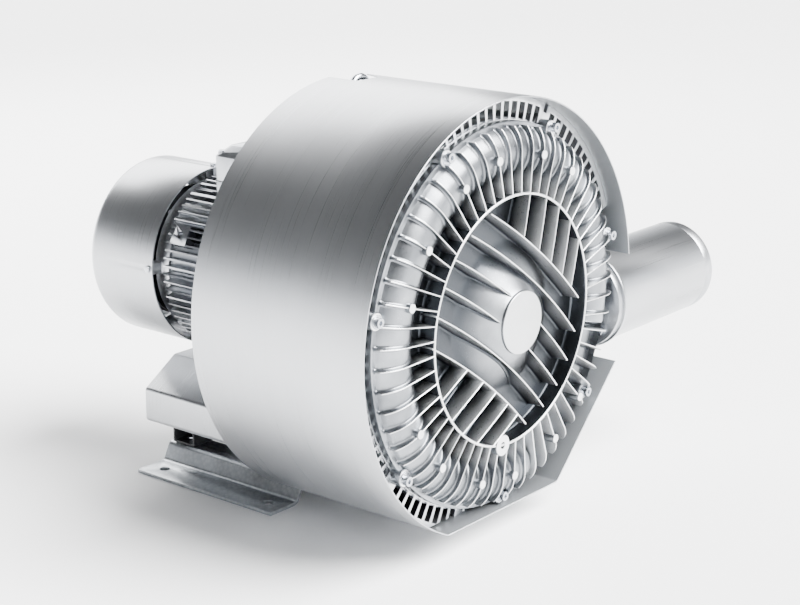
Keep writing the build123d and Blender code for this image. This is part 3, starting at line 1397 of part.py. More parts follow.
with BuildPart() as lid_screws:
    lid_seat = BOX_EDGE + BOX_WALL
    with BuildSketch(box_plane(lid_seat)):
        with Locations(*box_screw_points()):
            Circle(SCREW_HEAD_R)
    extrude(amount=SCREW_HEAD)
    with BuildSketch(box_plane(lid_seat)):
        with Locations(*box_screw_points()):
            Circle(SCREW_R)
    extrude(amount=-(lid_seat - BOX_SEAM + SCREW_REACH - RUN_AXIAL))
lid_screws.part.label = "lid_screws"
export_step(lid_screws.part, "parts/lid_screws.step")

with BuildPart() as terminal_board:
    with BuildSketch(box_plane(BOX_BASE + BOX_WALL)):
        Rectangle(4 * STUD_PITCH, 3 * STUD_PITCH)
        with GridLocations(STUD_PITCH, 2 * STUD_PITCH, 3, 2):
            Circle(SCREW_R + FIT, mode=Mode.SUBTRACT)
    extrude(amount=BOARD_SHEET)
terminal_board.part.label = "terminal_board"
export_step(terminal_board.part, "parts/terminal_board.step")

with BuildPart() as terminal_studs:
    with BuildSketch(box_plane(BOX_BASE + BOX_WALL)):
        with GridLocations(STUD_PITCH, 2 * STUD_PITCH, 3, 2):
            Circle(SCREW_R)
    extrude(amount=BOARD_SHEET + STUD_HEIGHT)
    with BuildSketch(box_plane(BOX_BASE + BOX_WALL + BOARD_SHEET)):
        with GridLocations(STUD_PITCH, 2 * STUD_PITCH, 3, 2):
            RegularPolygon(2 * SCREW_R, 6)
    extrude(amount=BOARD_SHEET)
terminal_studs.part.label = "terminal_studs"
export_step(terminal_studs.part, "parts/terminal_studs.step")

with BuildPart() as cable_gland:
    with BuildSketch(beside(BOX_HALF, GLAND_DEPTH, GLAND_HEIGHT)):
        Circle(GLAND_R)
    extrude(amount=-BOX_WALL)
    with BuildSketch(beside(BOX_HALF, GLAND_DEPTH, GLAND_HEIGHT)):
        RegularPolygon(GLAND_HEX, 6)
    extrude(amount=GLAND_NUT)
    with BuildSketch(beside(BOX_HALF + GLAND_NUT, GLAND_DEPTH, GLAND_HEIGHT)):
        Circle(GLAND_R + RUN_RADIAL)
    extrude(amount=GLAND_NUT, taper=GLAND_TAPER)
    with BuildSketch(beside(BOX_HALF + 2 * GLAND_NUT, GLAND_DEPTH, GLAND_HEIGHT)):
        Circle(CABLE_R)
    extrude(amount=-4 * GLAND_NUT, mode=Mode.SUBTRACT)
cable_gland.part.label = "cable_gland"
export_step(cable_gland.part, "parts/cable_gland.step")

with BuildPart() as blanking_plug:
    with BuildSketch(beside(BOX_HALF, PLUG_DEPTH, GLAND_HEIGHT)):
        Circle(GLAND_R)
    extrude(amount=-BOX_WALL)
    with BuildSketch(beside(BOX_HALF, PLUG_DEPTH, GLAND_HEIGHT)):
        RegularPolygon(GLAND_HEX, 6)
    extrude(amount=RIM_WEB)
blanking_plug.part.label = "blanking_plug"
export_step(blanking_plug.part, "parts/blanking_plug.step")

# Foot rails: bent Z profiles, the right one mirrored
with BuildPart() as left_rail:
    rail_front = Plane(origin=(0, -RAIL_LENGTH / 2, 0), x_dir=(1, 0, 0), z_dir=(0, -1, 0))
    rail_middle = RAIL_SHEET / 2
    web_foot = -RAIL_INNER + rail_middle
    with BuildSketch(rail_front):
        with BuildLine():
            FilletPolyline(
                (-RAIL_OUTER, rail_middle),
                (web_foot, rail_middle),
                (web_foot + RAIL_LEAN, RAIL_HEIGHT - rail_middle),
                (web_foot + RAIL_LEAN + RAIL_TOP, RAIL_HEIGHT - rail_middle),
                radius=RAIL_BEND,
            )
        trace(line_width=RAIL_SHEET)
    extrude(amount=-RAIL_LENGTH)
    with BuildSketch(Plane.XY):
        with Locations((-FOOT_X, FOOT_Y), (-FOOT_X, -FOOT_Y)):
            Circle(FOOT_HOLE)
    extrude(amount=2 * RAIL_SHEET, mode=Mode.SUBTRACT)
    with BuildSketch(Plane.XY.offset(RAIL_HEIGHT)):
        with Locations((-BEAM_BOLT_X, FOOT_Y), (-BEAM_BOLT_X, -FOOT_Y)):
            Circle(BOLT_HOLE)
    extrude(amount=-2 * RAIL_SHEET, mode=Mode.SUBTRACT)
left_rail.part.label = "left_rail"
export_step(left_rail.part, "parts/left_rail.step")

with BuildPart() as right_rail:
    add(mirror(left_rail.part, about=Plane.YZ, mode=Mode.PRIVATE))
right_rail.part.label = "right_rail"
export_step(right_rail.part, "parts/right_rail.step")

# Cross beams on the rails, with their bolts
with BuildPart() as cross_beams:
    for side in (-FOOT_Y, FOOT_Y):
        with BuildSketch(Plane.YZ.offset(-BEAM_HALF)):
            with Locations((side, RAIL_HEIGHT + BEAM_HEIGHT / 2)):
                Rectangle(BEAM_WIDTH, BEAM_HEIGHT)
            with Locations((side, RAIL_HEIGHT + BEAM_HEIGHT / 2 + BEAM_SHEET)):
                Rectangle(BEAM_WIDTH - 2 * BEAM_SHEET, BEAM_HEIGHT, mode=Mode.SUBTRACT)
        extrude(amount=2 * BEAM_HALF)
        with BuildSketch(Plane.XY.offset(RAIL_HEIGHT)):
            with Locations((BEAM_BOLT_X, side), (-BEAM_BOLT_X, side)):
                Circle(BOLT_HOLE)
        extrude(amount=2 * BEAM_SHEET, mode=Mode.SUBTRACT)
cross_beams.part.label = "cross_beams"
export_step(cross_beams.part, "parts/cross_beams.step")

with BuildPart() as rail_bolts:
    with BuildSketch(Plane.XY.offset(RAIL_HEIGHT + BEAM_SHEET)):
        with GridLocations(2 * BEAM_BOLT_X, 2 * FOOT_Y, 2, 2):
            RegularPolygon(HEAD_R, 6)
    extrude(amount=SCREW_HEAD)
    with BuildSketch(Plane.XY.offset(RAIL_HEIGHT - RAIL_SHEET)):
        with GridLocations(2 * BEAM_BOLT_X, 2 * FOOT_Y, 2, 2):
            Circle(BOLT_R)
    extrude(amount=RAIL_SHEET + BEAM_SHEET)
    with BuildSketch(Plane.XY.offset(RAIL_HEIGHT - RAIL_SHEET)):
        with GridLocations(2 * BEAM_BOLT_X, 2 * FOOT_Y, 2, 2):
            RegularPolygon(HEAD_R, 6)
    extrude(amount=-SCREW_HEAD)
rail_bolts.part.label = "rail_bolts"
export_step(rail_bolts.part, "parts/rail_bolts.step")


def duct_outline(inset):
    """Six-sided duct section with bent corners, smaller by the inset."""
    with BuildLine() as outline:
        FilletPolyline(
            (-DUCT_TOP_HALF, DUCT_TOP),
            (-DUCT_HALF, DUCT_SIDE_TOP),
            (-DUCT_HALF, DUCT_SIDE_BOTTOM),
            (-DUCT_BOTTOM_HALF, DUCT_BOTTOM),
            (DUCT_BOTTOM_HALF, DUCT_BOTTOM),
            (DUCT_HALF, DUCT_SIDE_BOTTOM),
            (DUCT_HALF, DUCT_SIDE_TOP),
            (DUCT_TOP_HALF, DUCT_TOP),
            radius=DUCT_BEND,
            close=True,
        )
    with BuildSketch(mode=Mode.PRIVATE) as section:
        make_face(outline.edges())
        if inset:
            offset(amount=-inset, mode=Mode.REPLACE)
    return section.sketch


# Lower air duct of bent sheet, the bulkheads that stiffen it and the grille on its end
with BuildPart() as lower_duct:
    with BuildSketch(across(DUCT_BACK)):
        add(duct_outline(0))
        add(duct_outline(DUCT_SHEET), mode=Mode.SUBTRACT)
    extrude(amount=DUCT_BACK - DUCT_FRONT)
lower_duct.part.label = "lower_duct"
export_step(lower_duct.part, "parts/lower_duct.step")

with BuildPart() as duct_bulkheads:
    for depth in (MOTOR_FRONT + FOOT_INSET, MOTOR_BACK - FOOT_INSET):
        with BuildSketch(across(depth + BEAM_SHEET / 2)):
            add(duct_outline(DUCT_SHEET))
            for x in (-DUCT_WINDOW_X, DUCT_WINDOW_X):
                with Locations((x, (DUCT_SIDE_TOP + DUCT_SIDE_BOTTOM) / 2)):
                    Circle(DUCT_WINDOW_R, mode=Mode.SUBTRACT)
        extrude(amount=BEAM_SHEET)
duct_bulkheads.part.label = "duct_bulkheads"
export_step(duct_bulkheads.part, "parts/duct_bulkheads.step")

with BuildPart() as duct_grille:
    with BuildSketch(across(DUCT_BACK)):
        add(duct_outline(DUCT_SHEET + FIT))
        with Locations((0, (DUCT_TOP + DUCT_BOTTOM) / 2)):
            with GridLocations(DUCT_SLOT_PITCH, 0, DUCT_SLOTS, 1):
                Rectangle(DUCT_SLOT_PITCH / 2, DUCT_SLOT_HEIGHT, mode=Mode.SUBTRACT)
    extrude(amount=GRILLE_SHEET)
duct_grille.part.label = "duct_grille"
export_step(duct_grille.part, "parts/duct_grille.step")

# Lifting eye bolt
with BuildPart() as lifting_eye:
    ring_middle = EYE_RING - EYE_WIRE
    with BuildSketch(meridian(90)):
        with Locations((EYE_DEPTH, EYE_SEAT + EYE_CENTRE + ring_middle)):
            Circle(EYE_WIRE)
    ring_axis = Axis((0, 0, SHAFT_HEIGHT + EYE_SEAT + EYE_CENTRE), (0, 1, 0))
    revolve(axis=ring_axis)
    with BuildSketch(level(EYE_SEAT, EYE_DEPTH)):
        Circle(EYE_COLLAR)
    extrude(amount=EYE_WIRE)
    with BuildSketch(level(EYE_SEAT, EYE_DEPTH)):
        Circle(EYE_SHANK)
    extrude(amount=-(EYE_THREAD - RUN_AXIAL))
lifting_eye.part.label = "lifting_eye"
export_step(lifting_eye.part, "parts/lifting_eye.step")

# Port necks, silencers and their bolts, one set for each stage
for name, depth in (("front", PORT_FRONT), ("rear", PORT_FRONT + PORT_PITCH)):
    port_origin = (0, COWL_FRONT + depth, SHAFT_HEIGHT + PORT_Z)
    port = Axis(port_origin, (1, 0, 0))
    port_meridian = Plane(origin=port_origin, x_dir=(1, 0, 0), z_dir=(0, -1, 0))
    with BuildPart() as port_neck:
        with BuildSketch(port_meridian):
            with BuildLine():
                Polyline(
                    (PORT_FACE - PORT_FLANGE, PORT_BORE),
                    (PORT_FACE - PORT_FLANGE, NECK_R),
                    (PORT_FACE, NECK_R),
                    (PORT_FACE, NECK_COLLAR),
                    (SILENCER_START - PORT_FLANGE, NECK_COLLAR),
                    (SILENCER_START - PORT_FLANGE, SILENCER_R),
                    (SILENCER_START, SILENCER_R),
                    (SILENCER_START, PORT_BORE),
                    close=True,
                )
            make_face()
        revolve(axis=port)
        with BuildSketch(beside(SILENCER_START, depth, PORT_Z)):
            with PolarLocations(SILENCER_BOLT_R, 4, start_angle=45):
                Circle(BOLT_HOLE)
        extrude(amount=-PORT_FLANGE, mode=Mode.SUBTRACT)
    port_neck.part.label = f"{name}_port_neck"
    export_step(port_neck.part, f"parts/{name}_port_neck.step")

    cap_start = SILENCER_START + SILENCER_LENGTH - CAP_DEPTH
    with BuildPart() as silencer_body:
        with BuildSketch(port_meridian):
            with BuildLine():
                Polyline(
                    (SILENCER_START, PORT_BORE),
                    (SILENCER_START, SILENCER_RIM),
                    (SILENCER_START + SILENCER_FLANGE, SILENCER_RIM),
                    (SILENCER_START + SILENCER_FLANGE, SILENCER_R),
                    (cap_start, SILENCER_R),
                    (cap_start, SILENCER_R - SILENCER_SHEET),
                    (SILENCER_START + SILENCER_FLANGE, SILENCER_R - SILENCER_SHEET),
                    (SILENCER_START + SILENCER_FLANGE, PORT_BORE),
                    close=True,
                )
            make_face()
        revolve(axis=port)
        with BuildSketch(beside(SILENCER_START, depth, PORT_Z)):
            with PolarLocations(SILENCER_BOLT_R, 4, start_angle=45):
                Circle(BOLT_R + FIT)
        extrude(amount=SILENCER_FLANGE, mode=Mode.SUBTRACT)
    silencer_body.part.label = f"{name}_silencer_body"
    export_step(silencer_body.part, f"parts/{name}_silencer_body.step")

    with BuildPart() as silencer_sleeve:
        with BuildSketch(beside(cap_start - CAP_SPIGOT, depth, PORT_Z)):
            Circle(SILENCER_R - SILENCER_SHEET - FIT)
            Circle(SILENCER_R - SILENCER_SHEET - SLEEVE_WALL, mode=Mode.SUBTRACT)
        extrude(amount=-(cap_start - CAP_SPIGOT - SILENCER_START - SILENCER_FLANGE - SLEEVE_GAP))
    silencer_sleeve.part.label = f"{name}_silencer_sleeve"
    export_step(silencer_sleeve.part, f"parts/{name}_silencer_sleeve.step")

    with BuildPart() as silencer_cap:
        with BuildSketch(port_meridian):
            with BuildLine():
                cap_end = cap_start + CAP_DEPTH
                Polyline(
                    (cap_start - CAP_SPIGOT, CAP_THREAD),
                    (cap_start - CAP_SPIGOT, SILENCER_R - SILENCER_SHEET - FIT),
                    (cap_start, SILENCER_R - SILENCER_SHEET - FIT),
                    (cap_start, SILENCER_R),
                    (cap_end - CAP_CHAMFER, SILENCER_R),
                    (cap_end, SILENCER_R - CAP_CHAMFER),
                    (cap_end, CAP_THREAD),
                    close=True,
                )
            make_face()
        revolve(axis=port)
    silencer_cap.part.label = f"{name}_silencer_cap"
    export_step(silencer_cap.part, f"parts/{name}_silencer_cap.step")

with BuildPart() as silencer_bolts:
    for depth in (PORT_FRONT, PORT_FRONT + PORT_PITCH):
        with BuildSketch(beside(SILENCER_START - PORT_FLANGE, depth, PORT_Z)):
            with PolarLocations(SILENCER_BOLT_R, 4, start_angle=45):
                Circle(HEAD_R)
        extrude(amount=-HEAD_HEIGHT)
        with BuildSketch(beside(SILENCER_START - PORT_FLANGE, depth, PORT_Z)):
            with PolarLocations(SILENCER_BOLT_R, 4, start_angle=45):
                Circle(BOLT_R)
        extrude(amount=PORT_FLANGE + SILENCER_FLANGE)
silencer_bolts.part.label = "silencer_bolts"
export_step(silencer_bolts.part, "parts/silencer_bolts.step")
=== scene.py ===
"""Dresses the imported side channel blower: turned, cast and bent surfaces with their finishes.

The frame's axes hold here: metres, +Z up, the shaft along +Y, the silencers toward +X.
A depth is measured back from the cowl's front edge and an angle from +X toward +Z.
"""

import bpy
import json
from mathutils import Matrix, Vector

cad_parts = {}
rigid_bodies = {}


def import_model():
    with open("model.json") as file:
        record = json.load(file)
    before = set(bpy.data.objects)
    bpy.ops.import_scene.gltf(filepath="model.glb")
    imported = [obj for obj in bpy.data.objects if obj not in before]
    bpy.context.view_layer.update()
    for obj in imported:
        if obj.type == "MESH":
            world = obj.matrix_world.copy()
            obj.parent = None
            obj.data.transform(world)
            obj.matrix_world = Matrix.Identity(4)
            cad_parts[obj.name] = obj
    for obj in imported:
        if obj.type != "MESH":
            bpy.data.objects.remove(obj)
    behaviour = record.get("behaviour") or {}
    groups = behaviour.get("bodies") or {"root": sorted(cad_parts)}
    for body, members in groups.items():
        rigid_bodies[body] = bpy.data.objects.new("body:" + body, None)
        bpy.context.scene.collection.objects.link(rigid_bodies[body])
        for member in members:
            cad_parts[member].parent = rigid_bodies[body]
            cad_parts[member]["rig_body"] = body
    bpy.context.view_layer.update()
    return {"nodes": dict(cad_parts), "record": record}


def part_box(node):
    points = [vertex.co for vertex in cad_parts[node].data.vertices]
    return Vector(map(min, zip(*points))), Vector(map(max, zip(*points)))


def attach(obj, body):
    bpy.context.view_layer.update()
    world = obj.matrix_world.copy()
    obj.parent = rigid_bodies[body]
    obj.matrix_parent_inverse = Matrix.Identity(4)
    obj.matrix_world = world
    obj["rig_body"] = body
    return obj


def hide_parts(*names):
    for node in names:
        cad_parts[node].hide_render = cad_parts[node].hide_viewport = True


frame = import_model()

import json
import math

import bmesh
import bpy
import numpy as np
from mathutils import Matrix, Vector

bl_info = {
    "name": "Side channel blower",
    "version": (1, 0, 0),
    "blender": (4, 5, 0),
    "location": "View3D > Sidebar > Blower",
    "description": "Builds the visible surfaces and finishes of a two-stage side channel blower",
    "category": "Add Mesh",
}

MM = 0.001
SLOT_OF = {part["node"]: part["material_slot"] for part in frame["record"]["subparts"]}
COWL_LOW, COWL_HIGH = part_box("cowl")
SHAFT_LOW, SHAFT_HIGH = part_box("rotor_shaft")
FRONT_Y = COWL_LOW.y
SHAFT_Z = (SHAFT_LOW.z + SHAFT_HIGH.z) / 2


class StageLight(bpy.types.PropertyGroup):
    """Floor, lights and camera of the studio."""

    floor_colour: bpy.props.StringProperty(
        name="Floor colour", description="sRGB hex value of the pale floor", default="FBFBFB")
    world_strength: bpy.props.FloatProperty(
        name="Room light", description="Strength of the even light all round", default=0.18, min=0)
    horizon: bpy.props.FloatProperty(
        name="Wall light", description="Strength of the pale wall low behind the floor", default=4.5, min=0)
    ceiling: bpy.props.FloatProperty(
        name="Ceiling light", description="Strength of the wide soft light from above", default=21.0, min=0)
    world_colour: bpy.props.StringProperty(
        name="Room colour", description="sRGB hex value of the even light", default="C9CCD0")
    lens: bpy.props.FloatProperty(
        name="Focal length", description="Lens on a 36 mm wide sensor", default=84.65,
        unit="CAMERA")
    camera_place: bpy.props.FloatVectorProperty(
        name="Camera", description="Place of the camera", size=3,
        default=(-1.9659, -1.8452, 1.0241), subtype="TRANSLATION", unit="LENGTH")
    camera_back: bpy.props.FloatVectorProperty(
        name="Camera back", description="Direction from the blower to the camera", size=3,
        default=(-0.7446, -0.6082, 0.2752), subtype="DIRECTION")


class MetalColours(bpy.types.PropertyGroup):
    """Colours of the metals as sRGB hex values."""

    sheet: bpy.props.StringProperty(
        name="Sheet", description="Rolled aluminium sheet of the cowl", default="C8CACD")
    sheet_dark: bpy.props.StringProperty(
        name="Sheet shade", description="Rolled aluminium sheet where it is duller", default="B0B2B5")
    mill_skin: bpy.props.StringProperty(
        name="Mill skin", description="Dull skin inside the cowl", default="8E9194")
    casting: bpy.props.StringProperty(
        name="Casting", description="Die-cast aluminium where it is clean", default="C4C6C9")
    casting_dark: bpy.props.StringProperty(
        name="Casting shade", description="Die-cast aluminium in its darker cast skin", default="989BA0")
    # Painted shade: the front cover takes a darker copy of the die-cast colours for the shade on its front
    # faces; its patches still vary at random.
    cover: bpy.props.StringProperty(
        name="Cover", description="Die-cast aluminium of the front cover", default="9DA0A4")
    cover_patches_shaded: bpy.props.StringProperty(
        name="Cover shade", description="Darker cast skin of the front cover", default="6E7175")
    # Painted shade: this colour darkens the field floor between the inner ribs and the walls of the ribs.
    painted_field_shade: bpy.props.StringProperty(
        name="Field floor", description="Dull skin between the cover's inner ribs", default="404347")
    zinc: bpy.props.StringProperty(
        name="Zinc", description="Zinc plated fasteners", default="C9CCD2")
    galvanised: bpy.props.StringProperty(
        name="Galvanised", description="Galvanised foot rails and beams", default="C4C7CA")


class CowlForm(bpy.types.PropertyGroup):
    """Sizes of the cowl sheet."""

    radius: bpy.props.FloatProperty(
        name="Radius", description="Outer radius of the round part", default=-COWL_LOW.x,
        unit="LENGTH", precision=4)
    depth: bpy.props.FloatProperty(
        name="Depth", description="Length of the cowl along the shaft",
        default=COWL_HIGH.y - COWL_LOW.y, unit="LENGTH", precision=4)
    sheet: bpy.props.FloatProperty(
        name="Sheet", description="Thickness of the sheet", default=2 * MM, unit="LENGTH", precision=4)
    flat: bpy.props.FloatProperty(
        name="Flat", description="Distance of the flat bottom from the shaft",
        default=SHAFT_Z - COWL_LOW.z, unit="LENGTH", precision=4)
    arc_start: bpy.props.FloatProperty(
        name="Arc start", description="Angle where the round part starts over the silencers",
        default=math.radians(6), subtype="ANGLE")
    slant_top: bpy.props.FloatProperty(
        name="Slant top", description="Angle where the slanted panel ends",
        default=math.radians(-25), subtype="ANGLE")
    bend: bpy.props.FloatProperty(
        name="Bend", description="Outer radius of the two bends", default=7 * MM, unit="LENGTH")


class CoverForm(bpy.types.PropertyGroup):
    """Sizes of the cast front cover."""

    rib_count: bpy.props.IntProperty(
        name="Radial ribs", description="Ribs across the channel", default=56, min=3)
    rib_start: bpy.props.FloatProperty(
        name="First rib", description="Angle of the first radial rib", default=math.radians(2.6),
        subtype="ANGLE")
    rib_half: bpy.props.FloatProperty(
        name="Rib half width", description="Half of a rib's width near its crest", default=0.95 * MM,
        unit="LENGTH", precision=5)
    field_half: bpy.props.FloatProperty(
        name="Field rib half width", description="Half of an inner rib's width near its crest",
        default=1.1 * MM, unit="LENGTH", precision=5)
    diagonal: bpy.props.FloatProperty(
        name="Diagonal", description="Lean of the long inner ribs", default=math.radians(-38),
        subtype="ANGLE")
    diagonal_pitch: bpy.props.FloatProperty(
        name="Diagonal pitch", description="Distance between the long inner ribs", default=39 * MM,
        unit="LENGTH", precision=4)
    cross_tilt: bpy.props.FloatProperty(
        name="Cross rib tilt", description="Angle of the short ribs to the long ones",
        default=math.radians(71), subtype="ANGLE")


# Front cover: hub, cone and floor of the round field, ring, channel and flange
HUB_R, HUB_FACE, HUB_STEP, HUB_EDGE = 43.5 * MM, -24 * MM, 4 * MM, 1.2 * MM
CONE_R, FIELD_FLOOR = 102 * MM, 14 * MM
RING_R, RING_HALF, RING_CREST, RING_FILLET = 172 * MM, 2.3 * MM, -11 * MM, 3.5 * MM
TORUS_R, TORUS_SKIN, TORUS_DEPTH = 224 * MM, 38 * MM, 36 * MM
FLANGE_R, FLANGE_FRONT, FLANGE_BACK = 265 * MM, 18 * MM, 30 * MM
FLANGE_FLAT, FLANGE_SLANT, FLANGE_EDGE = 266 * MM, 266.4 * MM, 1 * MM
FLAT_TURN, SLANT_TURN = math.pi / 2, math.radians(45)
RIM_R, COVER_BACK = 261.7 * MM, 32.5 * MM
PORT_SECTOR, PORT_FLOOR = (math.radians(285), math.radians(345)), 28 * MM
SECTOR_EDGE, SECTOR_STEPS = math.radians(1.2), 7
CONE_BLEND, CHANNEL_BLEND, PORT_ROOT = 4 * MM, 3 * MM, 5 * MM

# Angles of a rounded edge, from one face to the next
QUARTER = np.radians(np.linspace(0, 90, 5))

# Stations of the skin's grid: from one radius to another, and how many
INNER_STATIONS = ((HUB_R + 1 * MM, 96 * MM, 12), (97 * MM, 112 * MM, 8), (118 * MM, 164 * MM, 8))
OUTER_STATIONS = ((180 * MM, 190 * MM, 4), (191 * MM, 256 * MM, 46), (258 * MM, 266.5 * MM, 4))
HUB_FOOT, EDGE_START, SKIN_TURNS = 0.3 * MM, 255 * MM, 360

# Painted shade in the recesses and painted highlights on the crests: where each sets in and fades, and how
# strongly the hub face is lightened
PAINTED_SHADE_START, PAINTED_SHADE_END = (HUB_R + 8 * MM, CONE_R), (186 * MM, 202 * MM)
RING_BRIGHT, RING_FADE, RING_REACH = 1.2 * MM, 1 * MM, 3 * MM
CREST_SHARE, HUB_SHINE = (0.9, 0.985), 0.5

# Ribs, pads, lug and bolts of the cover
RIB_FILLET, RIB_SUNK, RIB_DRAFT = 3 * MM, 2 * MM, 0.35 * MM
FILLET_SHARE, LEAST_HEIGHT = 0.4, 2.2
RIB_END, CROWN_START, CREST_FALL = 260 * MM, 221 * MM, 3 * MM
CROWN_REACH, CROWN_LIFT = 48 * MM, 44 * MM
RIB_STATIONS, CROWN_STATIONS, FIELD_STATIONS = 12, 22, 60
# Painted shade on the radial ribs' walls: its strength by the ring, how much of it fades, and where it has
# faded
RIB_SHADE, RIB_SHADE_LOST, RIB_SHADE_END = 0.95, 0.7, 214 * MM
PAD_R, PAD_SIZE, PAD_FACE, PAD_EDGE = 225 * MM, 6.5 * MM, -9 * MM, 0.8 * MM
PAD_RIBS = (8, 11, 15, 18, 22, 25, 32, 35, 39, 42, 46, 49)
CROSS_PLACES = (-61 * MM, -19 * MM, 17 * MM, 54 * MM, 87 * MM)
DIAGONAL_COUNT, DIAGONAL_BOW, DIAGONAL_END = 6, 1130 * MM, 152 * MM
DOME, FIELD_SUNK = 3.4, 3 * MM
LUG_ANGLE, LUG_R, LUG_PROUD, LUG_EDGE = math.radians(262), 15 * MM, 1 * MM, 1 * MM
LUG_HOLE, LUG_HOLE_DEPTH = 5 * MM, 12 * MM
BOLT_COUNT, BOLT_START, BOLT_EDGE, BOLT_SINK = 7, math.radians(14.1), 9 * MM, 8 * MM
BOLT_LUG_R, BOLT_LUG_FACE, BOLT_LUG_EDGE = 12 * MM, 13 * MM, 1 * MM
WASHER_R, WASHER_THICK, WASHER_EDGE = 9 * MM, 1.6 * MM, 0.3 * MM
BOLT_BREAK = 0.4 * MM

# Cowl: places across the shaft where the notch's slope starts and ends and where the notch ends
NOTCH_PLACES, NOTCH_DEPTH = np.array([61, 22, -20]) * MM, 55 * MM
ARC_STATIONS, FLAT_STATIONS, BEND_STATIONS = (60, 8, 8, 130), 12, 9
FLAT_START, SLANT_START = 0.5 * MM, 0.02
COWL_MIDDLE, COWL_BEYOND = 120 * MM, 1000 * MM

# Grille and duct: what the scene's copies change
SLOT_COUNT, SLOT_PITCH, SLOT_MIDDLE, SLOT_REACH = 13, math.radians(3.64), 278 * MM, 13 * MM
SLOT_OLD, SLOT_HALF, SLOT_SLACK, GRILLE_SHEET = 4.85 * MM, 6.3 * MM, 0.1 * MM, 1.3 * MM
DUCT_INNER, DUCT_CORNER, DUCT_DROP = 106 * MM, 200 * MM, 13 * MM

# Meshes: distances that merge points, and angles over which an edge stays sharp or is broken
MERGE, NEEDLE, CAD_MERGE = 0.002 * MM, 0.001 * MM, 0.004 * MM
SMOOTH_ANGLE, COWL_SMOOTH_ANGLE = math.radians(38), math.radians(25)
FLAT_ANGLE, BREAK_ANGLE, SHARP_ANGLE = math.radians(0.2), math.radians(42), math.radians(32)

# Finishes: the white of the painted highlights on crests, also used for lighter flat faces, and patterns
# per metre
PAINTED_HIGHLIGHT_AND_FACES = "FAFBFB"
CAST_PATCHES, CAST_GRAIN = 14, 600
SHEET_LINES, GRILLE_LINES, SHEET_CLOUDS, SHEET_ALONG = 1200, 900, 5, 3
STEEL_HAZE, MOULD_DRIFT, FLOOR_HAZE = 30, 20, 3

# Studio: a wide floor, two softboxes by name, place, width, height and power, and a soft sun
FLOOR_HALF, LOOK_AT, CLIP_END = 30, (0, -0.1, 0.3), 60
SOFTBOXES = (("back_softbox", (1.5, 2.5, 2.4), 3.4, 2.2, 190),
             ("front_softbox", (0.9, -3.6, 1.6), 2.2, 1.4, 40))
SUN_WAY, SUN_ANGLE = (-0.3, 0.6, -0.75), math.radians(50)
WALL_TOP, WALL_END, SENSOR = 0.1, 0.2, 36


def linear(code):
    """Linear RGBA of an sRGB hex value."""
    parts = np.array([int(code[k:k + 2], 16) / 255 for k in (0, 2, 4)])
    light = np.where(parts <= 0.04045, parts / 12.92, ((parts + 0.055) / 1.055) ** 2.4)
    return [*light.tolist(), 1.0]


def add_node(tree, kind, sockets=None, **settings):
    """Adds a node; a socket's value is a constant, or another node's output that is linked."""
    node = tree.nodes.new(kind)
    for name, value in settings.items():
        setattr(node, name, value)
    for key, value in (sockets or {}).items():
        if isinstance(value, bpy.types.NodeSocket):
            tree.links.new(value, node.inputs[key])
        else:
            node.inputs[key].default_value = value
    return node


def new_material(name, colour):
    """Empty material with its output and a plain colour for the solid view."""
    material = bpy.data.materials.new(name)
    material.use_nodes = True
    material.node_tree.nodes.clear()
    material.diffuse_color = colour
    return material, material.node_tree


def cast_aluminium(name, light, dark, floor=None):
    """Pressure die-cast aluminium: bright where the die was smooth, duller cast skin in patches and a fine
    blasted grain; given a floor colour, also painted shade in the recesses and painted highlights on the
    crests. Grain of 0.5 mm is drawn at 1.7 mm to show."""
    material, tree = new_material(name, linear(light))
    place = add_node(tree, "ShaderNodeTexCoord").outputs["Object"]
    flow = add_node(tree, "ShaderNodeTexNoise",
                    {"Vector": place, "Scale": CAST_PATCHES, "Detail": 3}).outputs[0]
    grain = add_node(tree, "ShaderNodeTexNoise",
                     {"Vector": place, "Scale": CAST_GRAIN, "Detail": 2}).outputs[0]
    patch = add_node(tree, "ShaderNodeMapRange", {0: flow, 1: 0.35, 2: 0.65}).outputs[0]
    skin = add_node(tree, "ShaderNodeMix", {0: patch, 6: linear(dark), 7: linear(light)},
                    data_type="RGBA").outputs[2]
    rough = add_node(tree, "ShaderNodeMapRange", {0: grain, 1: 0.3, 2: 0.7, 3: 0.27, 4: 0.35}).outputs[0]
    if floor:
        # Painted shade: this mask darkens the field floor and the rib walls toward the floor colour.
        depth = add_node(tree, "ShaderNodeAttribute", attribute_name="painted_shade").outputs[2]
        skin = add_node(tree, "ShaderNodeMix", {0: depth, 6: skin, 7: linear(floor)},
                        data_type="RGBA").outputs[2]
        # Painted highlight: this mask whitens rib crests and the ring's top, and lightens the hub face and
        # the flat tops of pads and lugs.
        crest = add_node(tree, "ShaderNodeAttribute", attribute_name="crest").outputs[2]
        skin = add_node(tree, "ShaderNodeMix", {0: crest, 6: skin, 7: linear(PAINTED_HIGHLIGHT_AND_FACES)},
                        data_type="RGBA").outputs[2]
    bump = add_node(tree, "ShaderNodeBump", {"Height": grain, "Strength": 0.1, "Distance": 0.1 * MM})
    shader = add_node(tree, "ShaderNodeBsdfPrincipled",
                      {"Base Color": skin, "Metallic": 1.0, "Roughness": rough,
                       "Normal": bump.outputs[0]})
    add_node(tree, "ShaderNodeOutputMaterial", {0: shader.outputs[0]})
    return material


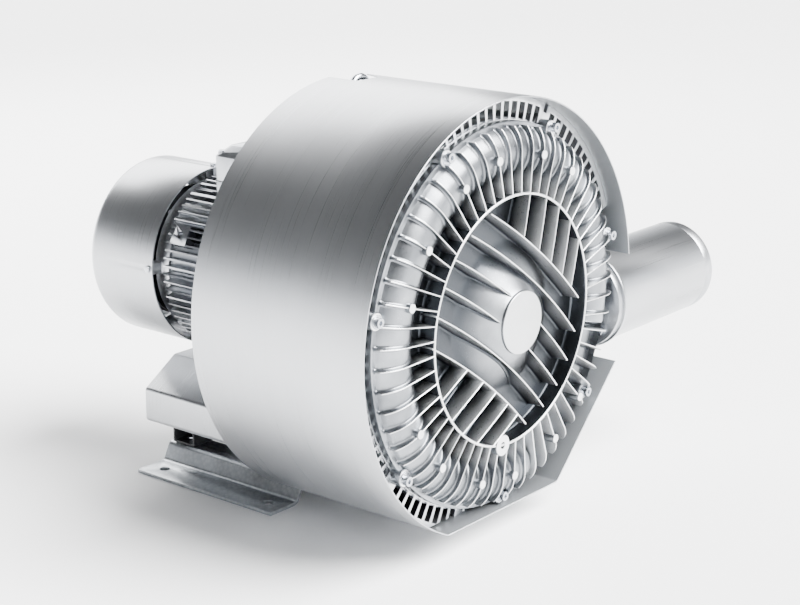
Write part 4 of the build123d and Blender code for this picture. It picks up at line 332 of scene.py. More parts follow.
def rolled_sheet(name, light, dark, inside, rolling, low, high):
    """Rolled aluminium sheet: fine rolling lines run round the wrap, a satin that smears highlights
    along the shaft, and a rougher mill skin inside. Lines of 0.1 mm are drawn 0.8 mm apart to show."""
    material, tree = new_material(name, linear(light))
    place = add_node(tree, "ShaderNodeTexCoord").outputs["Object"]
    stretched = add_node(tree, "ShaderNodeMapping",
                         {"Vector": place, "Scale": (SHEET_ALONG, rolling, SHEET_ALONG)}).outputs[0]
    lines = add_node(tree, "ShaderNodeTexNoise", {"Vector": stretched, "Scale": 1, "Detail": 3}).outputs[0]
    cloud = add_node(tree, "ShaderNodeTexNoise",
                     {"Vector": place, "Scale": SHEET_CLOUDS, "Detail": 2}).outputs[0]
    tone = add_node(tree, "ShaderNodeMix", {0: cloud, 6: linear(dark), 7: linear(light)},
                    data_type="RGBA").outputs[2]
    rough = add_node(tree, "ShaderNodeMapRange", {0: lines, 1: 0.25, 2: 0.75, 3: low, 4: high}).outputs[0]
    bump = add_node(tree, "ShaderNodeBump", {"Height": lines, "Strength": 0.12, "Distance": 0.1 * MM})
    around = add_node(tree, "ShaderNodeTangent", direction_type="RADIAL", axis="Y")
    outside = add_node(tree, "ShaderNodeBsdfPrincipled",
                       {"Base Color": tone, "Metallic": 1.0, "Roughness": rough, "Anisotropic": 0.45,
                        "Tangent": around.outputs[0], "Normal": bump.outputs[0]})
    mill = add_node(tree, "ShaderNodeBsdfPrincipled",
                    {"Base Color": linear(inside), "Metallic": 0.8, "Roughness": 0.42})
    inner = add_node(tree, "ShaderNodeAttribute", attribute_name="inner").outputs[2]
    shader = add_node(tree, "ShaderNodeMixShader", {0: inner, 1: outside.outputs[0], 2: mill.outputs[0]})
    add_node(tree, "ShaderNodeOutputMaterial", {0: shader.outputs[0]})
    return material


def plated_steel(name, light, dark, fleck, low, high):
    """Steel under a thin metal coat or ground bright: small crystal flecks and handling haze."""
    material, tree = new_material(name, linear(light))
    place = add_node(tree, "ShaderNodeTexCoord").outputs["Object"]
    flecks = add_node(tree, "ShaderNodeTexVoronoi", {"Vector": place, "Scale": 1 / fleck}).outputs[0]
    haze = add_node(tree, "ShaderNodeTexNoise",
                    {"Vector": place, "Scale": STEEL_HAZE, "Detail": 3}).outputs[0]
    tone = add_node(tree, "ShaderNodeMix", {0: flecks, 6: linear(light), 7: linear(dark)},
                    data_type="RGBA").outputs[2]
    rough = add_node(tree, "ShaderNodeMapRange", {0: haze, 1: 0.3, 2: 0.7, 3: low, 4: high}).outputs[0]
    bump = add_node(tree, "ShaderNodeBump", {"Height": flecks, "Strength": 0.06, "Distance": 0.1 * MM})
    shader = add_node(tree, "ShaderNodeBsdfPrincipled",
                      {"Base Color": tone, "Metallic": 1.0, "Roughness": rough,
                       "Normal": bump.outputs[0]})
    add_node(tree, "ShaderNodeOutputMaterial", {0: shader.outputs[0]})
    return material


def moulded(name, light, dark, grain, low, high):
    """Moulded plastic, rubber, foam or paint: not metal, with a fine grain and soft colour drift."""
    material, tree = new_material(name, linear(light))
    place = add_node(tree, "ShaderNodeTexCoord").outputs["Object"]
    grit = add_node(tree, "ShaderNodeTexNoise",
                    {"Vector": place, "Scale": 1 / grain, "Detail": 3}).outputs[0]
    drift = add_node(tree, "ShaderNodeTexNoise", {"Vector": place, "Scale": MOULD_DRIFT}).outputs[0]
    tone = add_node(tree, "ShaderNodeMix", {0: drift, 6: linear(dark), 7: linear(light)},
                    data_type="RGBA").outputs[2]
    rough = add_node(tree, "ShaderNodeMapRange", {0: grit, 1: 0.3, 2: 0.7, 3: low, 4: high}).outputs[0]
    bump = add_node(tree, "ShaderNodeBump", {"Height": grit, "Strength": 0.2, "Distance": 0.2 * MM})
    shader = add_node(tree, "ShaderNodeBsdfPrincipled",
                      {"Base Color": tone, "Roughness": rough, "Normal": bump.outputs[0]})
    add_node(tree, "ShaderNodeOutputMaterial", {0: shader.outputs[0]})
    return material


def make_finishes(colours):
    """One material for each slot of the record and the cover's own; the black paint also goes on the cross
    beams as painted shade. Each is given its colours, the size of its grain or the count of its lines, and
    the range of its roughness."""
    cast = cast_aluminium("die_cast_aluminium", colours.casting, colours.casting_dark)
    # The cover's material is a darker, painted-shade copy of the die-cast aluminium, with painted shade in
    # its recesses and painted highlights on its crests.
    cover = cast_aluminium("die_cast_cover_painted_light", colours.cover, colours.cover_patches_shaded, colours.painted_field_shade)
    return {
        "cover": cover,
        "black_paint": moulded("black_paint", "262729", "1D1E20", 1.2 * MM, 0.4, 0.55),
        "cast_aluminium": cast,
        "impeller_aluminium": cast_aluminium("cast_impeller", "BFC1C4", "9C9FA3"),
        "brushed_sheet": rolled_sheet("rolled_aluminium", colours.sheet, colours.sheet_dark,
                                      colours.mill_skin, SHEET_LINES, 0.26, 0.34),
        "grille_sheet": rolled_sheet("punched_aluminium", "E4E5E6", "D2D4D6", "9A9DA0",
                                     GRILLE_LINES, 0.3, 0.4),
        "galvanised_steel": plated_steel("galvanised_steel", colours.galvanised, "A9ADB1",
                                         6 * MM, 0.28, 0.42),
        "zinc_fastener": plated_steel("zinc_plated_steel", colours.zinc, "B2B6BC", 2 * MM, 0.18, 0.3),
        "ground_steel": plated_steel("ground_steel", "B9BBBE", "A4A6AA", 1 * MM, 0.12, 0.22),
        "lamination": plated_steel("stacked_laminations", "8B8D90", "707275", 1.5 * MM, 0.35, 0.5),
        "copper_winding": plated_steel("enamelled_copper", "B8683A", "8F4A26", 1.5 * MM, 0.25, 0.35),
        "sealing_rubber": moulded("nitrile_rubber", "1C1C1D", "141415", 0.8 * MM, 0.6, 0.75),
        "black_plastic": moulded("glass_filled_nylon", "232426", "191A1B", 0.6 * MM, 0.45, 0.6),
        "absorber_foam": moulded("open_cell_foam", "3C3D3F", "29292B", 2.5 * MM, 0.85, 0.95),
    }


def finish(name):
    """Material of a slot, made before any piece."""
    return bpy.data.materials[bpy.context.scene["blower_finishes"][name]]


def tidy_mesh(mesh, smooth_angle):
    """Merges doubled points, turns faces outwards and keeps edges over an angle sharp."""
    work = bmesh.new()
    work.from_mesh(mesh)
    bmesh.ops.remove_doubles(work, verts=work.verts, dist=MERGE)
    bmesh.ops.dissolve_degenerate(work, edges=work.edges, dist=NEEDLE)
    bmesh.ops.recalc_face_normals(work, faces=work.faces)
    work.to_mesh(mesh)
    work.free()
    mesh.shade_smooth()
    mesh.set_sharp_from_angle(angle=smooth_angle)
    return mesh


def place_piece(name, mesh, material, nodes=(), body="machine"):
    """Puts a finished mesh into the frame on its body, in place of the nodes it stands for."""
    piece = bpy.data.objects.new(name, mesh)
    bpy.context.scene.collection.objects.link(piece)
    mesh.materials.clear()
    mesh.materials.append(material)
    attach(piece, body)
    if nodes:
        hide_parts(*nodes)
    return piece


def mesh_from(name, points, faces, marks=None, smooth_angle=SMOOTH_ANGLE):
    """Mesh of an array of points and lists of faces, with point values under their names."""
    mesh = bpy.data.meshes.new(name)
    mesh.from_pydata(points.reshape(-1, 3).tolist(), [], faces)
    for key, values in (marks or {}).items():
        layer = mesh.attributes.new(key, "FLOAT", "POINT")
        layer.data.foreach_set("value", np.ascontiguousarray(values, np.float32).ravel())
    return tidy_mesh(mesh, smooth_angle)


def grid_faces(rows, columns, copies=1, wrap_rows=False, wrap_columns=False):
    """Quads of grids that lie one after another, joined round where they wrap."""
    r = np.arange(rows if wrap_rows else rows - 1)[:, None]
    c = np.arange(columns if wrap_columns else columns - 1)[None, :]
    r2 = (r + 1) % rows
    c2 = (c + 1) % columns
    quads = np.stack([r * columns + c, r * columns + c2, r2 * columns + c2, r2 * columns + c], -1)
    start = np.arange(copies)[:, None, None, None] * rows * columns
    return (quads[None] + start).reshape(-1, 4).tolist()


def in_frame(x, depth, z):
    """Points from a place across the shaft and a depth behind the cowl's front edge."""
    return np.stack(np.broadcast_arrays(x, depth + FRONT_Y, z + SHAFT_Z), -1)


def smooth_step(value, low, high):
    """Rises from 0 to 1 between two values, flat at both ends."""
    t = np.clip((value - low) / (high - low), 0, 1)
    return t * t * (3 - 2 * t)


def soft_min(a, b, reach):
    """The lesser of two arrays, rounded where they cross: a quadratic blend inside the reach."""
    h = np.clip(0.5 + (b - a) / (2 * reach), 0, 1)
    return b + (a - b) * h - reach * h * (1 - h)


def edge_radius(angle, full):
    """Radius of the cover's edge: a circle cut by the flat bottom and the slanted side."""
    flat = FLANGE_FLAT / np.maximum(np.cos(angle + FLAT_TURN), 0.5)
    slant = FLANGE_SLANT / np.maximum(np.cos(angle + SLANT_TURN), 0.5)
    return np.minimum(full, np.minimum(flat, slant))


def port_share(angle):
    """1 inside the port sector, 0 outside, with a short slope at each end."""
    turn = np.mod(angle, 2 * math.pi)
    rise = smooth_step(turn, PORT_SECTOR[0] - SECTOR_EDGE, PORT_SECTOR[0] + SECTOR_EDGE)
    fall = smooth_step(turn, PORT_SECTOR[1] - SECTOR_EDGE, PORT_SECTOR[1] + SECTOR_EDGE)
    return rise - fall


def cover_skin(radius, angle):
    """Depth of the cover's skin without its ribs: hub, cone, field floor, half-round channel, flange.
    The channel is a circle of the skin's radius round its centre line, blended into its neighbours."""
    cone = HUB_FACE + HUB_STEP + (radius - HUB_R) * (FIELD_FLOOR - HUB_FACE - HUB_STEP) / (CONE_R - HUB_R)
    floor = soft_min(np.full_like(radius, FIELD_FLOOR), cone, CONE_BLEND)
    floor = np.where(radius < HUB_R + HUB_STEP, np.minimum(cone, floor), floor)
    across = np.sqrt(np.maximum(TORUS_SKIN**2 - (radius - TORUS_R) ** 2, 0))
    channel = TORUS_DEPTH - across
    base = np.where(radius < TORUS_R, floor, FLANGE_FRONT)
    skin = np.where(radius > RING_R, soft_min(base, channel, CHANNEL_BLEND), floor)
    share = port_share(angle) * (radius > RING_R)
    return skin + (np.maximum(skin, PORT_FLOOR) - skin) * share


def upstand(half, height, fillet):
    """Cross-section of a cast rib as offsets and heights: concave root arc, leaning wall, round crest,
    then the same mirrored. Height and fillet may be arrays; the section is their last axis."""
    height = np.asarray(height)[..., None]
    fillet = np.minimum(fillet, FILLET_SHARE * height)
    lean = RIB_DRAFT + half
    crest = np.radians(np.linspace(0, 90, 4))
    low_off = lean + fillet * (1 - np.sin(QUARTER))
    low_up = fillet * (1 - np.cos(QUARTER))
    top_off = half * np.cos(crest) + 0 * height
    top_up = height - half + half * np.sin(crest)
    off = np.concatenate([low_off, top_off], -1)
    up = np.concatenate([low_up, top_up], -1)
    off = np.concatenate([-off, off[..., -2::-1]], -1)
    up = np.concatenate([up, up[..., -2::-1]], -1)
    return off, up


def rib_family(name, x, z, crest, root, half, fillet, shade):
    """Ribs along paths: arrays of paths by stations. The upstand section is carried along each path,
    square to it, from the skin's depth to the crest's depth, and each end is closed by one face.
    The shade tells how far painted shade climbs the walls from the recesses; each crest takes a painted
    highlight."""
    copies, stations = x.shape
    along = np.stack([np.gradient(x, axis=1), np.gradient(z, axis=1)], -1)
    along /= np.linalg.norm(along, axis=-1, keepdims=True)
    side = np.stack([-along[..., 1], along[..., 0]], -1)
    height = np.maximum(root - crest, LEAST_HEIGHT * half)
    off, up = upstand(half, height, fillet)
    sunk = np.full_like(off[..., :1], -RIB_SUNK)
    off = np.concatenate([off[..., :1], off, off[..., -1:]], -1)
    up = np.concatenate([sunk, up, sunk], -1)
    section = off.shape[-1]
    points = in_frame(x[..., None] + side[..., :1] * off, root[..., None] - up,
                      z[..., None] + side[..., 1:] * off)
    # Painted highlight near each crest, and painted shade on the walls below it, scaled by the shade.
    bright = smooth_step(up / height[..., None], *CREST_SHARE)
    faces = grid_faces(stations, section, copies, wrap_columns=True)
    first = np.arange(copies)[:, None] * stations * section + np.arange(section)
    ends = np.concatenate([first, first + (stations - 1) * section])
    painted_shade_mask = (1 - bright) * np.broadcast_to(np.asarray(shade), height.shape)[..., None]
    return mesh_from(name, points, faces + ends.tolist(), {"crest": bright, "painted_shade": painted_shade_mask})


def turned_bosses(name, x, z, radius, top, bottom, edge, hole=0.0, hole_depth=0.0, steps=40):
    """Round bosses: a profile with a rounded edge, and a blind hole if one is given, turned round
    each centre."""
    r = np.concatenate([[0, hole, hole], radius - edge + edge * np.sin(QUARTER), [radius, 0]])
    d = np.concatenate([[top + hole_depth, top + hole_depth, top], top + edge - edge * np.cos(QUARTER),
                        [bottom, bottom]])
    turn = np.linspace(0, 2 * math.pi, steps, endpoint=False)
    px = x[:, None, None] + r[None, :, None] * np.cos(turn)
    pz = z[:, None, None] + r[None, :, None] * np.sin(turn)
    pd = np.broadcast_to(d[None, :, None], px.shape)
    points = in_frame(px, pd, pz)
    faces = grid_faces(len(r), steps, len(x), wrap_columns=True)
    flat = np.broadcast_to((d == top)[None, :, None], px.shape) * 1.0
    return mesh_from(name, points, faces, {"crest": flat, "painted_shade": np.zeros_like(flat)})


def radii_of(bands):
    """Radii of the grid in some bands, each from one radius to another in equal steps."""
    return [np.linspace(*band) for band in bands]


def cover_body_mesh():
    """Skin of the cover: radii by angles, the ring's upstand worked into the radii, closed behind."""
    ring_off, ring_up = upstand(RING_HALF, FIELD_FLOOR - RING_CREST, RING_FILLET)
    inner = np.concatenate([[0], HUB_R - HUB_EDGE + HUB_EDGE * np.sin(QUARTER), [HUB_R + HUB_FOOT],
                            *radii_of(INNER_STATIONS)])
    radius = np.concatenate([inner, RING_R + ring_off, *radii_of(OUTER_STATIONS)])
    hub = len(QUARTER) + 1
    uniform = np.linspace(0, 2 * math.pi, SKIN_TURNS, endpoint=False)
    ends = [np.linspace(a - SECTOR_EDGE, a + SECTOR_EDGE, SECTOR_STEPS) for a in PORT_SECTOR]
    angle = np.unique(np.concatenate([uniform, *ends]))
    r = np.broadcast_to(radius[None, :], (len(angle), len(radius)))
    a = np.broadcast_to(angle[:, None], r.shape)
    depth = cover_skin(r, a)
    depth[:, 0] = HUB_FACE
    depth[:, 1:hub] = HUB_FACE + HUB_EDGE - HUB_EDGE * np.cos(QUARTER)
    depth[:, hub] = HUB_FACE + HUB_STEP
    ring = slice(len(inner), len(inner) + len(ring_off))
    lifted = FIELD_FLOOR - ring_up
    outer = (ring_off > RING_HALF) * port_share(a[:, ring]) * (lifted > RING_CREST + 2 * RING_HALF)
    depth[:, ring] = lifted + (PORT_FLOOR - lifted) * outer * (ring_up < PORT_ROOT)
    limit = edge_radius(a, FLANGE_R)
    reach = (limit - EDGE_START - FLANGE_EDGE) / (radius[-1] - EDGE_START)
    r = np.where(r > EDGE_START, EDGE_START + (r - EDGE_START) * reach, r)
    inner_rim = np.full(len(angle), RIM_R)
    rim_r = np.stack([limit[:, 0] - 0.3 * FLANGE_EDGE, limit[:, 0], limit[:, 0], inner_rim, inner_rim,
                      np.zeros(len(angle))], -1)
    rim_d = np.array([FLANGE_FRONT + 0.3 * FLANGE_EDGE, FLANGE_FRONT + FLANGE_EDGE, FLANGE_BACK,
                      FLANGE_BACK, COVER_BACK, COVER_BACK])
    r = np.concatenate([r, rim_r], -1)
    depth = np.concatenate([depth, np.broadcast_to(rim_d, rim_r.shape)], -1)
    a = np.broadcast_to(angle[:, None], r.shape)
    # Painted shade on the field floor and between the ring and the channel.
    painted_shade_mask = smooth_step(r, *PAINTED_SHADE_START) * (1 - smooth_step(r, *PAINTED_SHADE_END))
    # Painted highlight on the ring's top, joined in one mask with the lighter hub face.
    on_ring = np.abs(r - RING_R) < RING_REACH
    top = smooth_step(RING_CREST + RING_BRIGHT - depth, 0, RING_FADE) * on_ring
    hub_face = (depth < HUB_FACE + 0.5 * HUB_EDGE) * HUB_SHINE
    points = in_frame(r * np.cos(a), depth, r * np.sin(a))
    faces = grid_faces(len(angle), r.shape[1], wrap_rows=True)
    return mesh_from("cover_body", points, faces, {"painted_shade": painted_shade_mask, "crest": np.maximum(top, hub_face)})


def radial_rib_mesh(form):
    """Ribs across the channel: straight out from the ring. The crest falls a little to the channel's
    crown and then follows an ellipse round it down to the flange."""
    turn = form.rib_start + np.arange(form.rib_count) * 2 * math.pi / form.rib_count
    radius = np.concatenate([np.linspace(RING_R, CROWN_START, RIB_STATIONS),
                             np.linspace(TORUS_R, RIB_END, CROWN_STATIONS)])
    r, a = np.meshgrid(radius, turn)
    lift = np.sqrt(np.maximum(1 - (np.maximum(r - TORUS_R, 0) / CROWN_REACH) ** 2, 0))
    slope = RING_CREST + (np.minimum(r, TORUS_R) - RING_R) * CREST_FALL / (TORUS_R - RING_R)
    crest = np.where(r < TORUS_R, slope, TORUS_DEPTH - CROWN_LIFT * lift)
    root = cover_skin(r, a)
    # Painted shade on the rib walls, strong by the ring and weaker over the channel.
    shade = RIB_SHADE - RIB_SHADE_LOST * smooth_step(r, PAINTED_SHADE_END[0], RIB_SHADE_END)
    return rib_family("cover_radial_ribs", r * np.cos(a), r * np.sin(a), crest, root, form.rib_half,
                      RIB_FILLET, shade)


def field_rib_mesh(form):
    """Long bowed ribs and short cross ribs in the round field, each crest on a shallow dome. A long
    rib is a parabola beside the diagonal, and a short one runs straight from an outer long rib to the
    ring."""
    spread = form.diagonal_pitch * (DIAGONAL_COUNT - 1) / 2
    offset = np.arange(DIAGONAL_COUNT) * form.diagonal_pitch - spread
    span = np.linspace(-1, 1, FIELD_STATIONS)
    reach_left = np.sqrt(RING_R**2 - offset**2)
    reach_right = np.sqrt(np.maximum(DIAGONAL_END**2 - offset**2, 0))
    u = np.where(span < 0, span * reach_left[:, None], span * reach_right[:, None])
    v = offset[:, None] - u**2 / (2 * DIAGONAL_BOW)
    side = np.repeat([-1, 1], len(CROSS_PLACES))
    place = np.tile(CROSS_PLACES, 2)
    toward = np.array([-math.cos(form.cross_tilt), math.sin(form.cross_tilt)])
    foot = side * spread - place**2 / (2 * DIAGONAL_BOW)
    dot = place * toward[0] + foot * side * toward[1]
    length = -dot + np.sqrt(dot**2 - place**2 - foot**2 + RING_R**2)
    step = np.linspace(0, 1, FIELD_STATIONS)
    cross_u = place[:, None] + toward[0] * step * length[:, None]
    cross_v = foot[:, None] + (side * toward[1])[:, None] * step * length[:, None]
    u = np.concatenate([u, cross_u])
    v = np.concatenate([v, cross_v])
    x = u * math.cos(form.diagonal) - v * math.sin(form.diagonal)
    z = u * math.sin(form.diagonal) + v * math.cos(form.diagonal)
    r = np.hypot(x, z)
    crest = HUB_FACE + HUB_STEP + r**2 / DOME
    root = np.minimum(cover_skin(r, np.arctan2(z, x)), FIELD_FLOOR)
    root = np.where(r < HUB_R, HUB_FACE + HUB_STEP + FIELD_SUNK, root)
    # The inner ribs' walls take the full painted shade.
    return rib_family("cover_field_ribs", x, z, crest, root, form.field_half, RIB_FILLET, 1.0)


def bolt_places():
    """Centres of the seven casing bolts, drawn in at the flat and the slanted edge."""
    turn = BOLT_START + np.arange(BOLT_COUNT) * 2 * math.pi / BOLT_COUNT
    flat = (FLANGE_FLAT - BOLT_EDGE) / np.maximum(np.cos(turn + FLAT_TURN), 0.5)
    slant = (FLANGE_SLANT - BOLT_EDGE) / np.maximum(np.cos(turn + SLANT_TURN), 0.5)
    radius = np.minimum(FLANGE_R, np.minimum(flat, slant))
    return radius * np.cos(turn), radius * np.sin(turn)


def cowl_path(form):
    """Outline of the cowl: an arc over the top, the flat bottom, a bend and the slanted panel. With it
    goes how far back each point reaches, which follows the notch for the eye bolt."""
    left = math.pi * 1.5 - math.acos(form.flat / form.radius)
    stops = [form.arc_start, *np.arccos(NOTCH_PLACES / form.radius), left]
    arc = np.concatenate([np.linspace(*band) for band in zip(stops, stops[1:], ARC_STATIONS)])
    px = form.radius * np.cos(arc)
    pz = form.radius * np.sin(arc)
    corner = np.array([[px[-1], pz[-1]], [-px[-1], pz[-1]],
                       [form.radius * math.cos(form.slant_top), form.radius * math.sin(form.slant_top)]])
    slant = corner[2] - corner[1]
    half_turn = math.atan2(slant[1], slant[0]) / 2
    cut = form.bend * math.tan(half_turn)
    bend = np.linspace(0, 2 * half_turn, BEND_STATIONS)
    bend_x = corner[1][0] - cut + form.bend * np.sin(bend)
    bend_z = corner[1][1] + form.bend * (1 - np.cos(bend))
    flat = np.linspace(corner[0] + [FLAT_START, 0], [bend_x[0], bend_z[0]], FLAT_STATIONS)
    along = np.linspace(SLANT_START, 1, FLAT_STATIONS)[:, None]
    rest = along * (corner[2] - [bend_x[-1], bend_z[-1]]) + [bend_x[-1], bend_z[-1]]
    path = np.concatenate([np.stack([px, pz], -1), flat, np.stack([bend_x, bend_z], -1)[1:], rest])
    back = np.full(len(path), form.depth)
    before, slope, floor = np.cumsum(ARC_STATIONS[:3])
    back[before:slope] = np.linspace(form.depth, form.depth - NOTCH_DEPTH, slope - before)
    back[slope:floor] = form.depth - NOTCH_DEPTH
    return path, back


def outward(path):
    """Unit vectors square to a path, from the mean of its directions before and after each point."""
    ahead = np.diff(path, axis=0)
    length = np.linalg.norm(ahead, axis=-1, keepdims=True)
    ahead = np.where(length > 1e-7, ahead / np.maximum(length, 1e-7), 0)
    along = np.concatenate([ahead, ahead[-1:]]) + np.concatenate([ahead[:1], ahead])
    along /= np.linalg.norm(along, axis=-1, keepdims=True)
    return np.stack([along[:, 1], -along[:, 0]], -1)


def cowl_mesh(form):
    """One bent sheet with a rounded front edge. A column of points lies across the sheet at each step
    along the wrap: back to front on the outside, round the edge, and back again inside."""
    path, back = cowl_path(form)
    out = outward(path)
    nose = np.radians(np.linspace(0, 180, 7))
    half = form.sheet / 2
    side = [COWL_BEYOND, form.depth - NOTCH_DEPTH, COWL_MIDDLE]
    inward = np.concatenate([[0, 0, 0], half - half * np.cos(nose), [form.sheet] * 3])
    depth = np.concatenate([side, half - half * np.sin(nose), side[::-1]])
    d = np.minimum(depth[None, :], back[:, None])
    x = path[:, :1] - out[:, :1] * inward
    z = path[:, 1:] - out[:, 1:] * inward
    faces = grid_faces(len(path), len(depth), wrap_columns=True)
    last = (len(path) - 1) * len(depth)
    ends = [list(range(len(depth))), list(range(last, last + len(depth)))]
    inside = np.broadcast_to(inward > 0.9 * form.sheet, d.shape) * 1.0
    return mesh_from("cowl_sheet", in_frame(x, d, z), faces + ends, {"inner": inside}, COWL_SMOOTH_ANGLE)


def slots_opened(points):
    """Grille points with each slot's sides moved apart about its middle line, and a thinner sheet."""
    z = points[:, 2] - SHAFT_Z
    sector = 2 * math.pi / BOLT_COUNT
    turn = np.arctan2(z, points[:, 0])
    local = np.mod(turn - BOLT_START, sector)
    first = (sector - (SLOT_COUNT - 1) * SLOT_PITCH) / 2
    number = np.clip(np.round((local - first) / SLOT_PITCH), 0, SLOT_COUNT - 1)
    lean = local - first - number * SLOT_PITCH
    radius = np.hypot(points[:, 0], z)
    out = radius * np.cos(lean)
    across = radius * np.sin(lean)
    in_slot = (np.abs(across) < SLOT_OLD + SLOT_SLACK) & (np.abs(out - SLOT_MIDDLE) < SLOT_REACH)
    across = np.where(in_slot, across * SLOT_HALF / SLOT_OLD, across)
    radius = np.hypot(out, across)
    turn = turn - lean + np.arctan2(across, out)
    y = np.minimum(points[:, 1], points[:, 1].min() + GRILLE_SHEET)
    return np.stack([radius * np.cos(turn), y, radius * np.sin(turn) + SHAFT_Z], -1)


def side_deepened(points):
    """Duct points with the lower corner of both upright sides moved down."""
    corner = (np.abs(points[:, 0]) > DUCT_INNER) & (points[:, 2] < SHAFT_Z - DUCT_CORNER)
    moved = points.copy()
    moved[:, 2] -= corner * DUCT_DROP
    return moved


RESHAPED = {"air_grille": slots_opened, "lower_duct": side_deepened, "duct_grille": side_deepened}


def dressed_mesh(node, edge, reshape=None):
    """Copy of a node's mesh with merged points, flat faces joined and its sharp edges broken. Where
    the copy differs from the solid, a function moves its points first."""
    mesh = frame["nodes"][node].data.copy()
    mesh.name = "dressed_" + node
    if reshape:
        points = np.empty(len(mesh.vertices) * 3, np.float32)
        mesh.vertices.foreach_get("co", points)
        mesh.vertices.foreach_set("co", reshape(points.reshape(-1, 3).astype(float)).ravel())
    work = bmesh.new()
    work.from_mesh(mesh)
    bmesh.ops.remove_doubles(work, verts=work.verts, dist=CAD_MERGE)
    bmesh.ops.dissolve_limit(work, angle_limit=FLAT_ANGLE, verts=work.verts, edges=work.edges)
    work.to_mesh(mesh)
    work.free()
    carrier = bpy.data.objects.new("carrier", mesh)
    bpy.context.scene.collection.objects.link(carrier)
    bevel = carrier.modifiers.new("edges", "BEVEL")
    bevel.width = edge
    bevel.segments = 2
    bevel.limit_method = "ANGLE"
    bevel.angle_limit = BREAK_ANGLE
    bevel.use_clamp_overlap = True
    graph = bpy.context.evaluated_depsgraph_get()
    result = bpy.data.meshes.new_from_object(carrier.evaluated_get(graph))
    bpy.data.objects.remove(carrier)
    result.name = "dressed_" + node
    result.shade_smooth()
    result.set_sharp_from_angle(angle=SHARP_ANGLE)
    return result


# Width in mm of the broken edges on the copy of each node that shows
DRESSED = {
    "air_grille": 0.3, "fan_cowl": 0.4, "motor_frame": 0.5,
    "front_shield": 0.8, "rear_shield": 0.8, "terminal_base": 0.8, "terminal_lid": 1.0, "lid_screws": 0.4,
    "left_rail": 0.8, "right_rail": 0.8, "cross_beams": 0.6, "rail_bolts": 0.4, "lower_duct": 0.4,
    "duct_grille": 0.4, "lifting_eye": 0.4, "front_port_neck": 0.8, "rear_port_neck": 0.8,
    "front_silencer_body": 0.5, "rear_silencer_body": 0.5, "front_silencer_cap": 0.8,
    "rear_silencer_cap": 0.8, "silencer_bolts": 0.4, "rear_housing": 0.8, "middle_housing": 0.8,
    "cowl_screws": 0.3, "fan_cowl_screws": 0.3, "shield_screws": 0.3, "cable_gland": 0.4,
    "blanking_plug": 0.4, "shaft_nut": 0.4, "terminal_studs": 0.2,
}


def pale_room(light):
    """Even light all round, with a pale wall just above the horizon that fades into it."""
    world = bpy.data.worlds.new("studio")
    world.use_nodes = True
    tree = world.node_tree
    tree.nodes.clear()
    aim = add_node(tree, "ShaderNodeTexCoord").outputs["Generated"]
    height = add_node(tree, "ShaderNodeSeparateXYZ", {0: aim}).outputs[2]
    power = add_node(tree, "ShaderNodeMapRange",
                     {0: height, 1: WALL_TOP, 2: WALL_END, 3: light.horizon, 4: light.world_strength},
                     interpolation_type="SMOOTHSTEP").outputs[0]
    back = add_node(tree, "ShaderNodeBackground",
                    {"Color": linear(light.world_colour), "Strength": power})
    add_node(tree, "ShaderNodeOutputWorld", {0: back.outputs[0]})
    bpy.context.scene.world = world


def pale_floor(light):
    """Wide painted floor under the machine."""
    corners = [(x * FLOOR_HALF, y * FLOOR_HALF, 0) for x, y in ((-1, -1), (1, -1), (1, 1), (-1, 1))]
    mesh = bpy.data.meshes.new("floor")
    mesh.from_pydata(corners, [], [(0, 1, 2, 3)])
    material, tree = new_material("painted_floor", linear(light.floor_colour))
    place = add_node(tree, "ShaderNodeTexCoord").outputs["Object"]
    haze = add_node(tree, "ShaderNodeTexNoise", {"Vector": place, "Scale": FLOOR_HAZE}).outputs[0]
    rough = add_node(tree, "ShaderNodeMapRange", {0: haze, 3: 0.7, 4: 0.8}).outputs[0]
    paint = add_node(tree, "ShaderNodeBsdfPrincipled",
                     {"Base Color": linear(light.floor_colour), "Roughness": rough})
    add_node(tree, "ShaderNodeOutputMaterial", {0: paint.outputs[0]})
    mesh.materials.append(material)
    floor = bpy.data.objects.new("floor", mesh)
    bpy.context.scene.collection.objects.link(floor)


def softbox(name, place, width, height, power):
    """Area light that faces the machine."""
    light = bpy.data.lights.new(name, "AREA")
    light.shape = "RECTANGLE"
    light.size = width
    light.size_y = height
    light.energy = power
    lamp = bpy.data.objects.new(name, light)
    lamp.location = place
    lamp.rotation_euler = (Vector(LOOK_AT) - Vector(place)).to_track_quat("-Z", "Y").to_euler()
    bpy.context.scene.collection.objects.link(lamp)


def soft_sun(light):
    """Wide soft light from above, as from a lit ceiling."""
    sun = bpy.data.lights.new("ceiling", "SUN")
    sun.energy = light.ceiling
    sun.angle = SUN_ANGLE
    lamp = bpy.data.objects.new("ceiling", sun)
    lamp.rotation_euler = Vector(SUN_WAY).to_track_quat("-Z", "Y").to_euler()
    bpy.context.scene.collection.objects.link(lamp)


def set_camera(light):
    """Upright camera at its place, looking against the direction from the blower to it."""
    camera = bpy.data.cameras.new("camera")
    camera.lens = light.lens
    camera.sensor_width = SENSOR
    camera.clip_end = CLIP_END
    camera.dof.use_dof = False
    viewer = bpy.data.objects.new("camera", camera)
    back = Vector(light.camera_back).normalized()
    right = Vector((0, 0, 1)).cross(back).normalized()
    up = back.cross(right)
    turn = Matrix((right, up, back)).transposed().to_4x4()
    viewer.matrix_world = Matrix.Translation(light.camera_place) @ turn
    bpy.context.scene.collection.objects.link(viewer)
    bpy.context.scene.camera = viewer


class BLOWER_OT_stage(bpy.types.Operator):
    """Sets the pale floor, the soft lights and the camera"""

    bl_idname = "blower.stage"
    bl_label = "Stage"
    bl_options = {"REGISTER", "UNDO"}

    def execute(self, context):
        light = context.scene.blower_stage
        pale_room(light)
        pale_floor(light)
        for box in SOFTBOXES:
            softbox(*box)
        soft_sun(light)
        set_camera(light)
        return {"FINISHED"}


